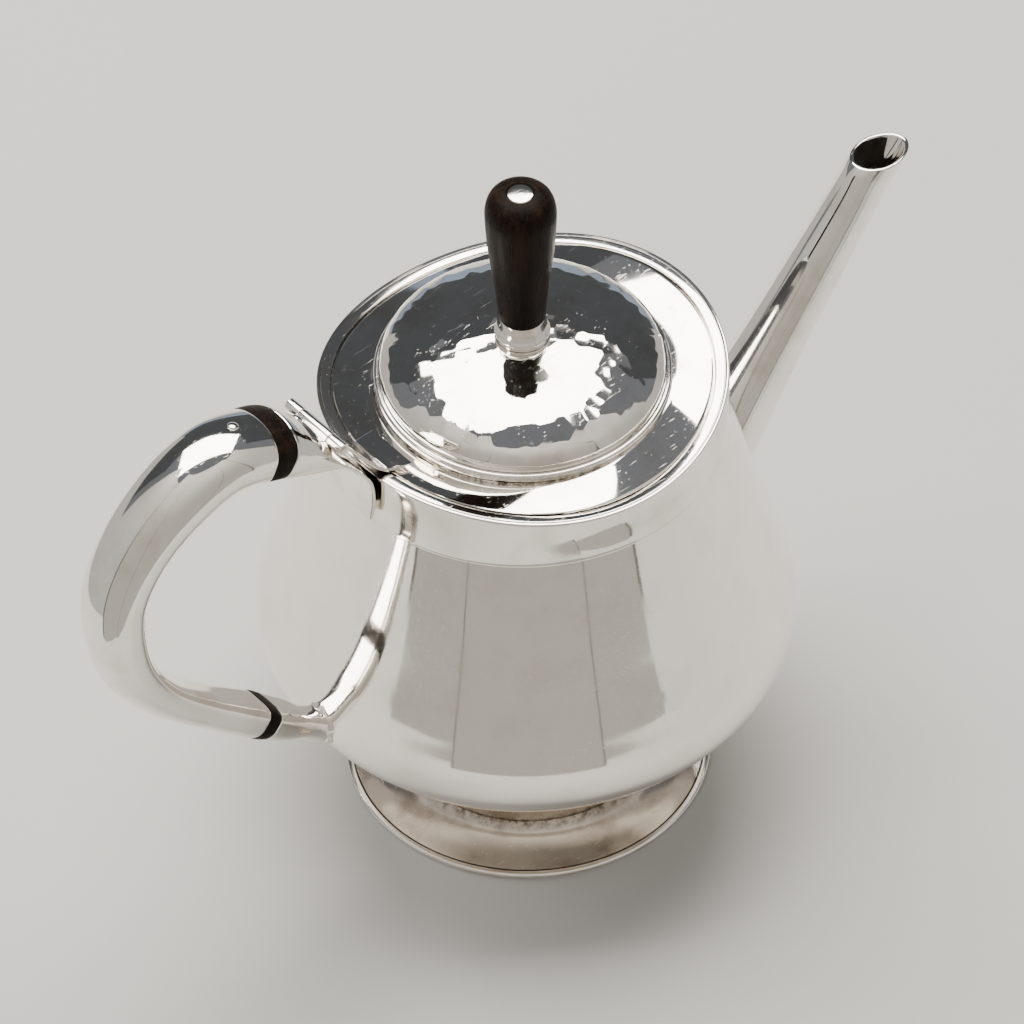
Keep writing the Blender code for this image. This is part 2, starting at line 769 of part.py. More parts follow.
# ================================================================ lid
def build_lid(ledge_radius):
    """The flat plate, its locating ring, the dome with its bead, and what holds the knob."""
    inner = DOME_RADIUS - 0.0030
    bend = DOME_RADIUS + 0.0012
    half_way = (bend + PLATE_RADIUS) / 2
    half_top = (PLATE_CENTRE_TOP + PLATE_TOP) / 2
    top = [
        (inner, PLATE_CENTRE_TOP),
        (bend, PLATE_CENTRE_TOP),
        (half_way, half_top),
        (PLATE_RADIUS - 0.0004, PLATE_TOP),
        (PLATE_RADIUS, PLATE_TOP - 0.0004),
    ]
    bottom = [
        (PLATE_RADIUS, PLATE_TOP - PLATE_THICKNESS),
        (half_way, half_top - PLATE_THICKNESS),
        (bend, PLATE_CENTRE_TOP - PLATE_THICKNESS),
        (inner, PLATE_CENTRE_TOP - PLATE_THICKNESS),
    ]
    warp(turned("lid_plate", top + bottom, SILVER), lid_share)
    outer = ledge_radius - SEAT_RING_CLEARANCE
    share = (outer - bend) / (PLATE_RADIUS - bend)
    under = PLATE_CENTRE_TOP + (PLATE_TOP - PLATE_CENTRE_TOP) * share - PLATE_THICKNESS - GAP
    ring = [
        (outer, under - 0.0002),
        (outer, under - SEAT_RING_DEPTH),
        (outer - SEAT_RING_WALL, under - SEAT_RING_DEPTH),
        (outer - SEAT_RING_WALL, under - 0.0002),
    ]
    warp(turned("lid_locating_ring", ring, SILVER), lid_share)
    bead_centre = (DOME_RADIUS, PLATE_CENTRE_TOP + GAP + DOME_BEAD_RADIUS)
    turned("dome_bead", arc(bead_centre, DOME_BEAD_RADIUS, 180, -120, 5), SILVER)
    stations = [
        (0.0, DOME_TOP),
        (DOME_RADIUS * 0.34, DOME_BASE + DOME_HEIGHT * 0.94),
        (DOME_RADIUS * 0.68, DOME_BASE + DOME_HEIGHT * 0.73),
        (DOME_RADIUS * 0.90, DOME_BASE + DOME_HEIGHT * 0.46),
        (DOME_RADIUS * 0.985, DOME_BASE + DOME_HEIGHT * 0.22),
        (DOME_RADIUS * 0.99, DOME_BASE),
    ]
    dome = turned("lid_dome", smooth_curve(stations, 2), SILVER, closed=False)
    thicken(dome, SHEET)
    rod_hole = cylinder_cutter(
        "rod_hole", ROD_RADIUS + GAP, (0, 0, DOME_BASE), (0, 0, DOME_TOP + 0.004)
    )
    cut(dome, rod_hole)


def build_knob():
    """The ebony knob on its silver ferrule, and the rod, washer and nut that hold it."""
    bore = ROD_RADIUS + GAP
    base = DOME_TOP + GAP
    ferrule = [
        (FERRULE_RADIUS - 0.0004, base + FERRULE_HEIGHT - GAP),
        (FERRULE_RADIUS - 0.0002, base + FERRULE_HEIGHT * 0.45),
        (FERRULE_RADIUS + 0.0010, base + FERRULE_HEIGHT * 0.20),
        (FERRULE_RADIUS + 0.0008, base),
        (bore, base),
        (bore, base + FERRULE_HEIGHT - GAP),
    ]
    turned("knob_ferrule", ferrule, SILVER, steps=SMALL_STEPS)
    recess = ROD_HEAD_RADIUS + GAP
    recess_floor = KNOB_TOP - ROD_HEAD_THICKNESS - GAP
    side = [
        (recess, KNOB_TOP),
        (KNOB_RADIUS * 0.72, KNOB_TOP - 0.0008),
        (KNOB_RADIUS * 0.96, KNOB_TOP - 0.0036),
        (KNOB_RADIUS, KNOB_TOP - 0.0080),
        (KNOB_RADIUS * 0.93, KNOB_TOP - 0.0190),
        (KNOB_FOOT_RADIUS * 1.14, KNOB_BASE + 0.0100),
        (KNOB_FOOT_RADIUS, KNOB_BASE + GAP),
    ]
    middle = [
        (bore, KNOB_BASE + GAP),
        (bore, recess_floor),
        (recess, recess_floor),
    ]
    turned("knob", smooth_curve(side, 2) + middle, EBONY, steps=SMALL_STEPS)
    ceiling = DOME_TOP - SHEET - GAP
    washer = [
        (WASHER_RADIUS, ceiling - 0.0008),
        (WASHER_RADIUS, ceiling - 0.0008 - WASHER_THICKNESS),
        (bore, ceiling - 0.0008 - WASHER_THICKNESS),
        (bore, ceiling - 0.0008),
    ]
    turned("knob_washer", washer, SILVER, steps=SMALL_STEPS)
    nut_top = ceiling - 0.0008 - WASHER_THICKNESS - GAP
    nut = [
        (NUT_ACROSS_CORNERS / 2, nut_top),
        (NUT_ACROSS_CORNERS / 2, nut_top - NUT_THICKNESS),
        (bore, nut_top - NUT_THICKNESS),
        (bore, nut_top),
    ]
    turned("knob_nut", nut, SILVER, steps=6)
    rod_end = nut_top - NUT_THICKNESS - 0.0010
    head = KNOB_TOP + 0.0002
    rod = [
        (0.0, head),
        (ROD_HEAD_RADIUS - 0.0002, head),
        (ROD_HEAD_RADIUS, head - 0.0002),
        (ROD_HEAD_RADIUS, head - ROD_HEAD_THICKNESS),
        (ROD_RADIUS, head - ROD_HEAD_THICKNESS),
        (ROD_RADIUS, rod_end),
        (0.0, rod_end),
    ]
    turned("knob_rod", rod, SILVER, steps=SMALL_STEPS, closed=False)


def centre_on_origin():
    """Moves the pot so that the middle of its box stands over the origin."""
    bpy.context.view_layer.update()
    graph = bpy.context.evaluated_depsgraph_get()
    across = []
    for obj in pot_frame.children:
        if obj.hide_render:
            continue
        evaluated = obj.evaluated_get(graph)
        mesh = evaluated.to_mesh()
        place = evaluated.matrix_world
        across += [(place @ vertex.co).x for vertex in mesh.vertices]
        evaluated.to_mesh_clear()
    pot_frame.location.x = -(min(across) + max(across)) / 2


def main():
    """Builds every piece, then centres the pot."""
    build_foot()
    shell, trim = build_body()
    ledge_radius = build_rim()
    build_spout(shell, trim)
    socket = build_handle(trim)
    build_hinge(socket)
    build_lid(ledge_radius)
    build_knob()
    centre_on_origin()


clear_scene()
parts = new_collection("coffee_pot")
cutters = new_collection("cutters", hidden=True)
pot_frame = bpy.data.objects.new("pot_frame", None)
parts.objects.link(pot_frame)
main()
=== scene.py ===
"""A silver coffee pot with a planished lid, an ebony knob and an insulated hollow handle.

The pot stands on z = 0 with its spout along +X. Every length is in metres. Each sub-assembly
is a class that holds its sizes, builds its meshes and dresses them with a finish.
"""

import json
import logging
import math
from collections.abc import Iterable
from dataclasses import dataclass, field
from enum import Enum

import bmesh
import bpy
import numpy as np
from mathutils import Matrix, Vector, kdtree

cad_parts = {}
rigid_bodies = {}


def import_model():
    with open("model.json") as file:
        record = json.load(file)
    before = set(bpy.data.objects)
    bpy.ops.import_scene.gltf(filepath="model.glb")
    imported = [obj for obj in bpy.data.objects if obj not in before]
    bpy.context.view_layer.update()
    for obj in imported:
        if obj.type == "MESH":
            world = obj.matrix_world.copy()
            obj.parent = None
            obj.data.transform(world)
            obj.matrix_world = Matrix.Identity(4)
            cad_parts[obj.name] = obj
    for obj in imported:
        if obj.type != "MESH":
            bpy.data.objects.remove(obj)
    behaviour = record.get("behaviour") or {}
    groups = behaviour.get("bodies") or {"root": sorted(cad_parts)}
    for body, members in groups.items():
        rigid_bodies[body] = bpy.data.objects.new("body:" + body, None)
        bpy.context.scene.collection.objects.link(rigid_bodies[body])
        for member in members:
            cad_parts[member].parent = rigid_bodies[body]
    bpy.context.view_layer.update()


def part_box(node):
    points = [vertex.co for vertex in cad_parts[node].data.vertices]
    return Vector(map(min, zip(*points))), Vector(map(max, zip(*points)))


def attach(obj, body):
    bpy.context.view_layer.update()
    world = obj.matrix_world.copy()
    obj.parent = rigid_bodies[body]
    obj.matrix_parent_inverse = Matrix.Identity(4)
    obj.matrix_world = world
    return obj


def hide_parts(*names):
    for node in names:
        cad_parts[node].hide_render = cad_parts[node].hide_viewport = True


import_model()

WIRE_LOW, WIRE_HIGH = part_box("foot_wire")
AXIS_X = (WIRE_LOW.x + WIRE_HIGH.x) / 2
GAP = 0.0003
SHEET = 0.0011
HANDLE_WALL = 0.0013
Point = tuple[float, float]

log = logging.getLogger("coffee_pot")


class Body(Enum):
    """The two moving bodies of the pot."""

    POT = "pot"
    LID = "lid"


class Slot(Enum):
    """The names of the material slots, one for each kind of finish."""

    POLISHED = "polished_silver"
    PLANISHED = "planished_silver"
    # The foot's worn silver, darkened with painted shade.
    WORN_AND_SHADED = "worn_silver"
    EBONY = "ebony"


# ---------------------------------------------------------------- curves and profiles
def hermite(before: float, start: float, end: float, after: float, t: float) -> float:
    """One coordinate of a smooth curve between two stations.

    Args:
        before: the value at the station before the span.
        start: the value at the span's start.
        end: the value at the span's end.
        after: the value at the station after the span.
        t: the share of the span, from 0 to 1.

    Returns:
        The value on the curve.
    """
    slope_in = (end - before) / 2
    slope_out = (after - start) / 2
    return (
        (2 * t**3 - 3 * t**2 + 1) * start
        + (t**3 - 2 * t**2 + t) * slope_in
        + (3 * t**2 - 2 * t**3) * end
        + (t**3 - t**2) * slope_out
    )


def smooth_curve(stations: list[tuple], per_span: int) -> list[tuple]:
    """Points on a smooth curve through stations of any number of coordinates.

    Args:
        stations: the points that the curve passes.
        per_span: how many points each span gets.

    Returns:
        The points, the last station among them.
    """
    points = []
    last = len(stations) - 1
    for i in range(last):
        four = (stations[max(i - 1, 0)], stations[i], stations[i + 1], stations[min(i + 2, last)])
        for k in range(per_span):
            points.append(tuple(hermite(*values, k / per_span) for values in zip(*four)))
    points.append(tuple(stations[-1]))
    return points


def rounded(corners: list[Point], radius: float, steps: int = 4) -> list[Point]:
    """A closed profile with each of its corners rounded by a small arc.

    Args:
        corners: the profile's corners in order.
        radius: how far along each side the rounding starts.
        steps: how many spans each rounding has.

    Returns:
        The rounded profile.
    """
    points = []
    count = len(corners)
    for i, corner in enumerate(corners):
        here = Vector(corner)
        before = Vector(corners[i - 1]) - here
        after = Vector(corners[(i + 1) % count]) - here
        start = here + before.normalized() * min(radius, before.length * 0.45)
        end = here + after.normalized() * min(radius, after.length * 0.45)
        for k in range(steps + 1):
            t = k / steps
            points.append(tuple(start * (1 - t) ** 2 + here * 2 * t * (1 - t) + end * t**2))
    return points


def offset_line(line: list[Point], distance: float) -> list[Point]:
    """An open profile moved square to itself.

    Args:
        line: the profile, running down its outer side.
        distance: how far outwards it moves.

    Returns:
        The moved profile.
    """
    moved = []
    for i, (radius, height) in enumerate(line):
        ahead = line[min(i + 1, len(line) - 1)]
        behind = line[max(i - 1, 0)]
        run = Vector((ahead[0] - behind[0], ahead[1] - behind[1])).normalized()
        moved.append((max(radius - run.y * distance, 0.0), height + run.x * distance))
    return moved


def even_line(line: list[Point], count: int) -> list[Point]:
    """The same open profile with evenly spaced points.

    Args:
        line: the profile.
        count: how many points the result has.

    Returns:
        The respaced profile.
    """
    points = np.array(line, float)
    steps = np.hypot(*np.diff(points, axis=0).T)
    lengths = np.concatenate([[0.0], np.cumsum(steps)])
    wanted = np.linspace(0.0, lengths[-1], count)
    return [tuple(p) for p in np.stack([np.interp(wanted, lengths, c) for c in points.T], axis=1)]


def smooth_share(value: np.ndarray, low: float, high: float) -> np.ndarray:
    """0 below low and 1 above high, with a smooth step between them."""
    t = np.clip((value - low) / (high - low), 0.0, 1.0)
    return t * t * (3 - 2 * t)


# ---------------------------------------------------------------- meshes
def turned(profile: list[Point], steps: int) -> np.ndarray:
    """Turns a profile of (radius, height) about the pot's own axis.

    Args:
        profile: the profile's points.
        steps: how many points go round.

    Returns:
        The points as an array of rings.
    """
    line = np.array(profile, float)
    angles = np.linspace(0.0, 2 * math.pi, steps, endpoint=False)
    rings = np.empty((len(line), steps, 3))
    rings[..., 0] = line[:, :1] * np.cos(angles)
    rings[..., 1] = line[:, :1] * np.sin(angles)
    rings[..., 2] = line[:, 1:]
    return rings


def skin(name: str, rings: np.ndarray, wrap: bool = False, sharp: float = 35.0) -> bpy.types.Mesh:
    """A closed skin through rings of points, in the row's frame.

    Args:
        name: the mesh's name.
        rings: an array of (rings, points round, 3) about the pot's own axis.
        wrap: joins the last ring to the first; otherwise each end is closed by a face.
        sharp: the angle in degrees past which an edge stays crisp.

    Returns:
        The mesh, with its faces pointing outwards.
    """
    count, around = rings.shape[:2]
    index = np.arange(count * around).reshape(count, around)
    lower = index if wrap else index[:-1]
    upper = np.roll(index, -1, axis=0) if wrap else index[1:]
    quads = np.stack([lower, np.roll(lower, -1, 1), np.roll(upper, -1, 1), upper], axis=-1)
    faces = quads.reshape(-1, 4).tolist()
    if not wrap:
        for ring in (0, count - 1):
            if np.ptp(rings[ring], axis=0).max() > 1e-7:
                faces.append(index[ring].tolist())
    mesh = bpy.data.meshes.new(name)
    mesh.from_pydata((rings.reshape(-1, 3) + (AXIS_X, 0.0, 0.0)).tolist(), [], faces)
    return tidied(mesh, sharp)


def tidied(mesh: bpy.types.Mesh, sharp: float = 35.0) -> bpy.types.Mesh:
    """Merges doubled points, turns the faces outwards and sets the shading.

    Args:
        mesh: the mesh to tidy in place.
        sharp: the angle in degrees past which an edge stays crisp.

    Returns:
        The same mesh.
    """
    bm = bmesh.new()
    bm.from_mesh(mesh)
    bmesh.ops.remove_doubles(bm, verts=bm.verts, dist=2e-7)
    bmesh.ops.dissolve_degenerate(bm, edges=bm.edges, dist=1e-8)
    bmesh.ops.recalc_face_normals(bm, faces=bm.faces)
    bm.to_mesh(mesh)
    bm.free()
    mesh.shade_smooth()
    mesh.set_sharp_from_angle(angle=math.radians(sharp))
    return mesh


def place_piece(
    name: str,
    mesh: bpy.types.Mesh,
    body: Body,
    slot: Slot,
    material: bpy.types.Material,
    *nodes: str,
) -> bpy.types.Object:
    """Links a finished mesh as one visible piece of the pot.

    Args:
        name: the piece's name.
        mesh: its mesh, already in the row's frame.
        body: the body that it rides on.
        slot: not used.
        material: its finish.
        nodes: the CAD nodes that it stands for.

    Returns:
        The new object.
    """
    mesh.name = name
    mesh.materials.clear()
    mesh.materials.append(material)
    piece = bpy.data.objects.new(name, mesh)
    bpy.context.scene.collection.objects.link(piece)
    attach(piece, body.value)
    if nodes:
        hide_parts(*nodes)
    triangles = sum(len(face.vertices) - 2 for face in mesh.polygons)
    log.info("%s rides on %s, %d triangles", name, body.value, triangles)
    return piece


def carved(mesh: bpy.types.Mesh, cutter: bpy.types.Mesh) -> bpy.types.Mesh:
    """Takes a closed cutter out of a closed mesh.

    Args:
        mesh: the mesh that is cut.
        cutter: the shape taken out of it.

    Returns:
        The cut mesh.
    """
    holder = bpy.data.objects.new("cut_holder", mesh)
    tool = bpy.data.objects.new("cut_tool", cutter)
    for obj in (holder, tool):
        bpy.context.scene.collection.objects.link(obj)
    boolean = holder.modifiers.new("cut", "BOOLEAN")
    boolean.operation = "DIFFERENCE"
    boolean.solver = "EXACT"
    boolean.object = tool
    result = evaluated_mesh(holder)
    for obj in (holder, tool):
        bpy.data.objects.remove(obj)
    return result


def evaluated_mesh(obj: bpy.types.Object) -> bpy.types.Mesh:
    """The plain mesh of an object with its modifiers applied.

    Args:
        obj: the object, linked to the scene.

    Returns:
        A new mesh that holds what the modifiers make.
    """
    graph = bpy.context.evaluated_depsgraph_get()
    graph.update()
    return bpy.data.meshes.new_from_object(obj.evaluated_get(graph))


# ---------------------------------------------------------------- hammer marks
@dataclass(frozen=True)
class Planishing:
    """The overlapping flats that a planishing hammer leaves on raised silver.

    Attributes:
        spacing: the distance between neighbouring blows.
        dish: the radius of curvature that one blow leaves, relative to the smooth shape.
        depth: how much the blows differ in depth.
        softness: how far the ridges between the blows are worn away.
        seed: what fixes the blows' places.
    """

    spacing: float
    dish: float
    depth: float
    softness: float
    seed: int

    def blows(self, line: list[Point]) -> tuple[np.ndarray, np.ndarray]:
        """Spreads the blows in uneven rounds over a turned surface.

        Args:
            line: the surface's profile.

        Returns:
            The blows' centres and their depths.
        """
        chance = np.random.default_rng(self.seed)
        points = np.array(line, float)
        steps = np.hypot(*np.diff(points, axis=0).T)
        lengths = np.concatenate([[0.0], np.cumsum(steps)])
        rounds = max(int(lengths[-1] / (self.spacing * 0.9)), 2)
        centres = []
        for k in range(rounds + 1):
            along = lengths[-1] * k / rounds
            radius = np.interp(along, lengths, points[:, 0])
            count = max(int(2 * math.pi * radius / self.spacing), 1)
            angles = np.arange(count) * 2 * math.pi / count + chance.uniform(0, 6.28)
            angles = angles + chance.normal(0.0, 0.22, count) * 2 * math.pi / count
            places = along + chance.normal(0.0, 0.24, count) * self.spacing
            radii = np.interp(places, lengths, points[:, 0])
            heights = np.interp(places, lengths, points[:, 1])
            centres.append(np.stack([radii * np.cos(angles), radii * np.sin(angles), heights], 1))
        every = np.concatenate(centres)
        return every, chance.uniform(0.0, self.depth, len(every))

    def relief(self, points: np.ndarray, line: list[Point]) -> np.ndarray:
        """How far each point of the surface stands off its smooth shape.

        Args:
            points: the surface's points.
            line: the surface's profile.

        Returns:
            One distance for each point, outwards where it is above zero.
        """
        centres, depths = self.blows(line)
        tree = kdtree.KDTree(len(centres))
        for i, centre in enumerate(centres):
            tree.insert(centre, i)
        tree.balance()
        flat = points.reshape(-1, 3)
        heights = np.empty((len(flat), 5))
        for i, point in enumerate(flat):
            for j, (_, which, distance) in enumerate(tree.find_n(point, 5)):
                heights[i, j] = distance**2 / (2 * self.dish) - depths[which]
        lowest = heights.min(axis=1, keepdims=True)
        blend = np.exp(-(heights - lowest) / self.softness).sum(axis=1)
        height = lowest[:, 0] - self.softness * np.log(blend)
        return (height - height.mean()).reshape(points.shape[:-1])


def profile_normals(line: list[Point]) -> np.ndarray:
    """The outward direction at each point of a profile that runs down its outer side.

    Args:
        line: the profile.

    Returns:
        A unit vector (out, up) for each point.
    """
    points = np.array(line, float)
    run = np.gradient(points, axis=0)
    run /= np.linalg.norm(run, axis=1, keepdims=True) + 1e-12
    return np.stack([-run[:, 1], run[:, 0]], axis=1)


def hammered(
    line: list[Point], steps: int, marks: Planishing, weight: np.ndarray | None = None
) -> np.ndarray:
    """A turned surface with hammer marks in its shape.

    Args:
        line: the profile, running down its outer side.
        steps: how many points go round.
        marks: the hammer marks.
        weight: how strong the marks are at each point of the profile.

    Returns:
        The points as an array of rings.
    """
    rings = turned(line, steps)
    normals = profile_normals(line)
    angles = np.linspace(0.0, 2 * math.pi, steps, endpoint=False)
    out = marks.relief(rings, line)
    if weight is not None:
        out = out * weight[:, None]
    out[np.array(line)[:, 0] < 1e-6] = 0.0
    rings[..., 0] += out * normals[:, :1] * np.cos(angles)
    rings[..., 1] += out * normals[:, :1] * np.sin(angles)
    rings[..., 2] += out * normals[:, 1:]
    return rings


# ---------------------------------------------------------------- finishes
class NodeSheet:
    """A node tree with short ways to add, fill and join its nodes."""

    tree: bpy.types.NodeTree

    def add(self, kind: str, **settings: object) -> bpy.types.Node:
        """A new node with its properties set.

        Args:
            kind: the node's type.
            settings: property values by name.

        Returns:
            The node.
        """
        node = self.tree.nodes.new(kind)
        for name, value in settings.items():
            setattr(node, name, value)
        return node

    def join(self, output: bpy.types.NodeSocket, into: bpy.types.NodeSocket) -> None:
        """Links an output to an input."""
        self.tree.links.new(output, into)

    def fill(self, sockets: Iterable[bpy.types.NodeSocket], values: tuple) -> None:
        """Gives each input its number or colour, or links it to a socket.

        Args:
            sockets: the inputs.
            values: a number, a colour or a socket for each.
        """
        for socket, value in zip(sockets, values):
            if isinstance(value, bpy.types.NodeSocket):
                self.join(value, socket)
            else:
                socket.default_value = (*value, 1.0) if isinstance(value, tuple) else value

    def sum(self, first: object, second: object, operation: str = "ADD") -> bpy.types.NodeSocket:
        """Two numbers or sockets put together by a Math operation.

        Args:
            first: the first number or socket.
            second: the second one.
            operation: the Math node's operation.

        Returns:
            The result.
        """
        node = self.add("ShaderNodeMath", operation=operation)
        self.fill(node.inputs, (first, second))
        return node.outputs["Value"]


class ShaderSheet(NodeSheet):
    """A new material's node tree."""

    def __init__(self, name: str) -> None:
        """Starts a material that holds a Principled shader and its output.

        Args:
            name: the material's name.
        """
        self.material = bpy.data.materials.new(name)
        self.material.use_nodes = True
        self.tree = self.material.node_tree
        self.shader = self.tree.nodes["Principled BSDF"]

    def place(
        self, scale: tuple, turn: tuple = (0.0, 0.0, 0.0), kind: str = "Object"
    ) -> bpy.types.NodeSocket:
        """A texture place with its own scale and turn.

        Args:
            scale: the scale on each axis.
            turn: the turn about each axis in radians.
            kind: the texture coordinate that it starts from.

        Returns:
            The Mapping node's vector output.
        """
        source = self.add("ShaderNodeTexCoord")
        mapping = self.add("ShaderNodeMapping")
        mapping.inputs["Scale"].default_value = scale
        mapping.inputs["Rotation"].default_value = turn
        self.join(source.outputs[kind], mapping.inputs["Vector"])
        return mapping.outputs["Vector"]

    def noise(
        self, vector: bpy.types.NodeSocket, scale: float, detail: float = 3.0, rough: float = 0.55
    ) -> bpy.types.NodeSocket:
        """A noise texture.

        Args:
            vector: where the noise is read.
            scale: how fine it is.
            detail: how many octaves it has.
            rough: how strong the finer octaves are.

        Returns:
            Its factor output.
        """
        node = self.add("ShaderNodeTexNoise")
        node.inputs["Scale"].default_value = scale
        node.inputs["Detail"].default_value = detail
        node.inputs["Roughness"].default_value = rough
        self.join(vector, node.inputs["Vector"])
        return node.outputs["Fac"]

    def ranged(
        self, value: bpy.types.NodeSocket, low: float, high: float, to_low: float, to_high: float
    ) -> bpy.types.NodeSocket:
        """A value carried from one range to another, smoothly clamped.

        Args:
            value: the value.
            low: where its range starts.
            high: where its range ends.
            to_low: what the start becomes.
            to_high: what the end becomes.

        Returns:
            The carried value.
        """
        node = self.add("ShaderNodeMapRange", interpolation_type="SMOOTHSTEP")
        for name, number in zip(("From Min", "From Max", "To Min", "To Max"), (low, high, to_low, to_high)):
            node.inputs[name].default_value = number
        self.join(value, node.inputs["Value"])
        return node.outputs["Result"]

    def mix(self, factor: bpy.types.NodeSocket, first: object, second: object) -> bpy.types.NodeSocket:
        """Two colours mixed by a factor.

        Args:
            factor: the second colour's share.
            first: a colour or a socket.
            second: a colour or a socket.

        Returns:
            The mixed colour.
        """
        node = self.add("ShaderNodeMix", data_type="RGBA")
        self.join(factor, node.inputs["Factor"])
        self.fill((node.inputs[6], node.inputs[7]), (first, second))
        return node.outputs[2]

    def bump(
        self, height: bpy.types.NodeSocket, distance: float, under: bpy.types.NodeSocket | None = None
    ) -> bpy.types.NodeSocket:
        """A bump of a given depth.

        Args:
            height: the relief, from 0 to 1.
            distance: its depth in metres.
            under: a bump that it lies over.

        Returns:
            The normal.
        """
        node = self.add("ShaderNodeBump")
        node.inputs["Strength"].default_value = 1.0
        node.inputs["Distance"].default_value = distance
        self.join(height, node.inputs["Height"])
        if under is not None:
            self.join(under, node.inputs["Normal"])
        return node.outputs["Normal"]


@dataclass(frozen=True)
class SilverFinish:
    """Polished silver with fine wear: hairline scratches, a few pits and a breath of tarnish.

    Attributes:
        name: the material's name.
        bright: the colour of clean silver.
        dull: the colour of the thin tarnish.
        gloss: the roughness of the cleanest silver.
        haze: the roughness of the dullest silver.
        patch: the size of the cloudy patches of tarnish.
        scratch: the depth of the hairline scratches.
        ripple: the depth of the slow unevenness of the surface.
        crease_shade: how dark the painted shade in the crease at one height is, or 0.
        crease_shade_height: the height of that painted shade.
        crease_shade_spread: how far the painted shade reaches from its height.
    """

    name: str
    bright: tuple[float, float, float] = (0.93, 0.895, 0.845)
    dull: tuple[float, float, float] = (0.80, 0.75, 0.68)
    gloss: float = 0.05
    haze: float = 0.13
    patch: float = 0.012
    scratch: float = 0.0000035
    ripple: float = 0.00002
    crease_shade: float = 0.0
    crease_shade_height: float = 0.0
    crease_shade_spread: float = 0.001

    def material(self) -> bpy.types.Material:
        """Builds the finish.

        Returns:
            The finished material.
        """
        sheet = ShaderSheet(self.name)
        sheet.shader.inputs["Metallic"].default_value = 1.0
        clouds = sheet.noise(sheet.place((1.0, 1.0, 1.0)), 1.0 / self.patch, 4.0)
        tarnish = sheet.ranged(clouds, 0.42, 0.72, 0.0, 1.0)
        hairs = None
        for turn, thin in (((0.3, 0.1, 0.6), 2600.0), ((1.1, 0.7, 2.1), 3100.0), ((0.2, 1.3, 1.2), 2900.0)):
            lines = sheet.noise(sheet.place((60.0, thin, thin), turn), 1.0, 1.0)
            mark = sheet.ranged(lines, 0.70, 0.80, 0.0, 1.0)
            hairs = mark if hairs is None else sheet.sum(hairs, mark)
        pits = sheet.noise(sheet.place((1.0, 1.0, 1.0)), 1500.0, 1.0)
        pocks = sheet.ranged(pits, 0.74, 0.80, 0.0, 1.0)
        wear = sheet.sum(hairs, pocks)
        colour = sheet.mix(tarnish, self.bright, self.dull)
        # Painted shade: darkens the colour in the crease at one height, where it is set.
        if self.crease_shade > 0.0:
            colour = self.crease_shaded(sheet, colour)
        sheet.join(colour, sheet.shader.inputs["Base Color"])
        soft = sheet.ranged(clouds, 0.35, 0.75, self.gloss, self.haze)
        rough = sheet.sum(soft, sheet.ranged(wear, 0.0, 1.0, 0.0, 0.18))
        sheet.join(rough, sheet.shader.inputs["Roughness"])
        slow = sheet.noise(sheet.place((1.0, 1.0, 1.0), (0.4, 0.2, 0.9)), 140.0, 2.0, 0.4)
        under = sheet.bump(slow, self.ripple)
        cut = sheet.ranged(wear, 0.0, 1.0, 1.0, 0.0)
        sheet.join(sheet.bump(cut, self.scratch, under), sheet.shader.inputs["Normal"])
        return sheet.material

    def crease_shaded(self, sheet: ShaderSheet, colour: bpy.types.NodeSocket) -> bpy.types.NodeSocket:
        """Paints shade into the colour round one height, unevenly, where two parts meet in a crease.

        Args:
            sheet: the material that is being built.
            colour: the colour before the painted shade.

        Returns:
            The colour with the painted shade on it.
        """
        place = sheet.place((1.0, 1.0, 1.0))
        parts = sheet.add("ShaderNodeSeparateXYZ")
        sheet.join(place, parts.inputs["Vector"])
        level = sheet.add("ShaderNodeMath", operation="SUBTRACT")
        sheet.join(parts.outputs["Z"], level.inputs[0])
        level.inputs[1].default_value = self.crease_shade_height
        distance = sheet.add("ShaderNodeMath", operation="ABSOLUTE")
        sheet.join(level.outputs["Value"], distance.inputs[0])
        near = sheet.ranged(distance.outputs["Value"], 0.0, self.crease_shade_spread, self.crease_shade, 0.0)
        specks = sheet.ranged(sheet.noise(place, 420.0, 5.0, 0.7), 0.38, 0.66, 0.0, 1.0)
        # Painted shade: a dark brown, made patchy by noise, mixed in near the crease's height.
        return sheet.mix(sheet.sum(near, specks, "MULTIPLY"), colour, (0.10, 0.075, 0.05))


@dataclass(frozen=True)
class EbonyFinish:
    """Oiled ebony with a fine straight grain, slightly browner streaks and open pores.

    Attributes:
        name: the material's name.
        turn: turns the grain's own axis Z to the direction of the wood's fibres.
        dark: the colour of the heartwood.
        streak: the colour of the paler streaks.
        pore_depth: how deep the pores are.
    """

    name: str
    turn: tuple[float, float, float] = (0.0, 0.0, 0.0)
    dark: tuple[float, float, float] = (0.0040, 0.0026, 0.0020)
    streak: tuple[float, float, float] = (0.017, 0.0095, 0.006)
    pore_depth: float = 0.00006

    def material(self) -> bpy.types.Material:
        """Builds the finish.

        Returns:
            The finished material.
        """
        sheet = ShaderSheet(self.name)
        grain = sheet.noise(sheet.place((900.0, 900.0, 34.0), self.turn), 1.0, 4.0, 0.6)
        bands = sheet.noise(sheet.place((260.0, 260.0, 9.0), self.turn), 1.0, 3.0, 0.5)
        pores = sheet.noise(sheet.place((2400.0, 2400.0, 120.0), self.turn), 1.0, 2.0, 0.5)
        streaks = sheet.sum(
            sheet.ranged(grain, 0.42, 0.72, 0.0, 0.75), sheet.ranged(bands, 0.40, 0.75, 0.0, 0.6)
        )
        colour = sheet.mix(streaks, self.dark, self.streak)
        open_pores = sheet.ranged(pores, 0.60, 0.72, 0.0, 1.0)
        colour = sheet.mix(open_pores, colour, (0.006, 0.004, 0.003))
        sheet.join(colour, sheet.shader.inputs["Base Color"])
        sheet.join(sheet.ranged(grain, 0.3, 0.75, 0.38, 0.58), sheet.shader.inputs["Roughness"])
        height = sheet.sum(grain, sheet.ranged(pores, 0.56, 0.72, 1.0, 0.0))
        sheet.join(sheet.bump(height, self.pore_depth), sheet.shader.inputs["Normal"])
        sheet.shader.inputs["Specular IOR Level"].default_value = 0.05
        return sheet.material


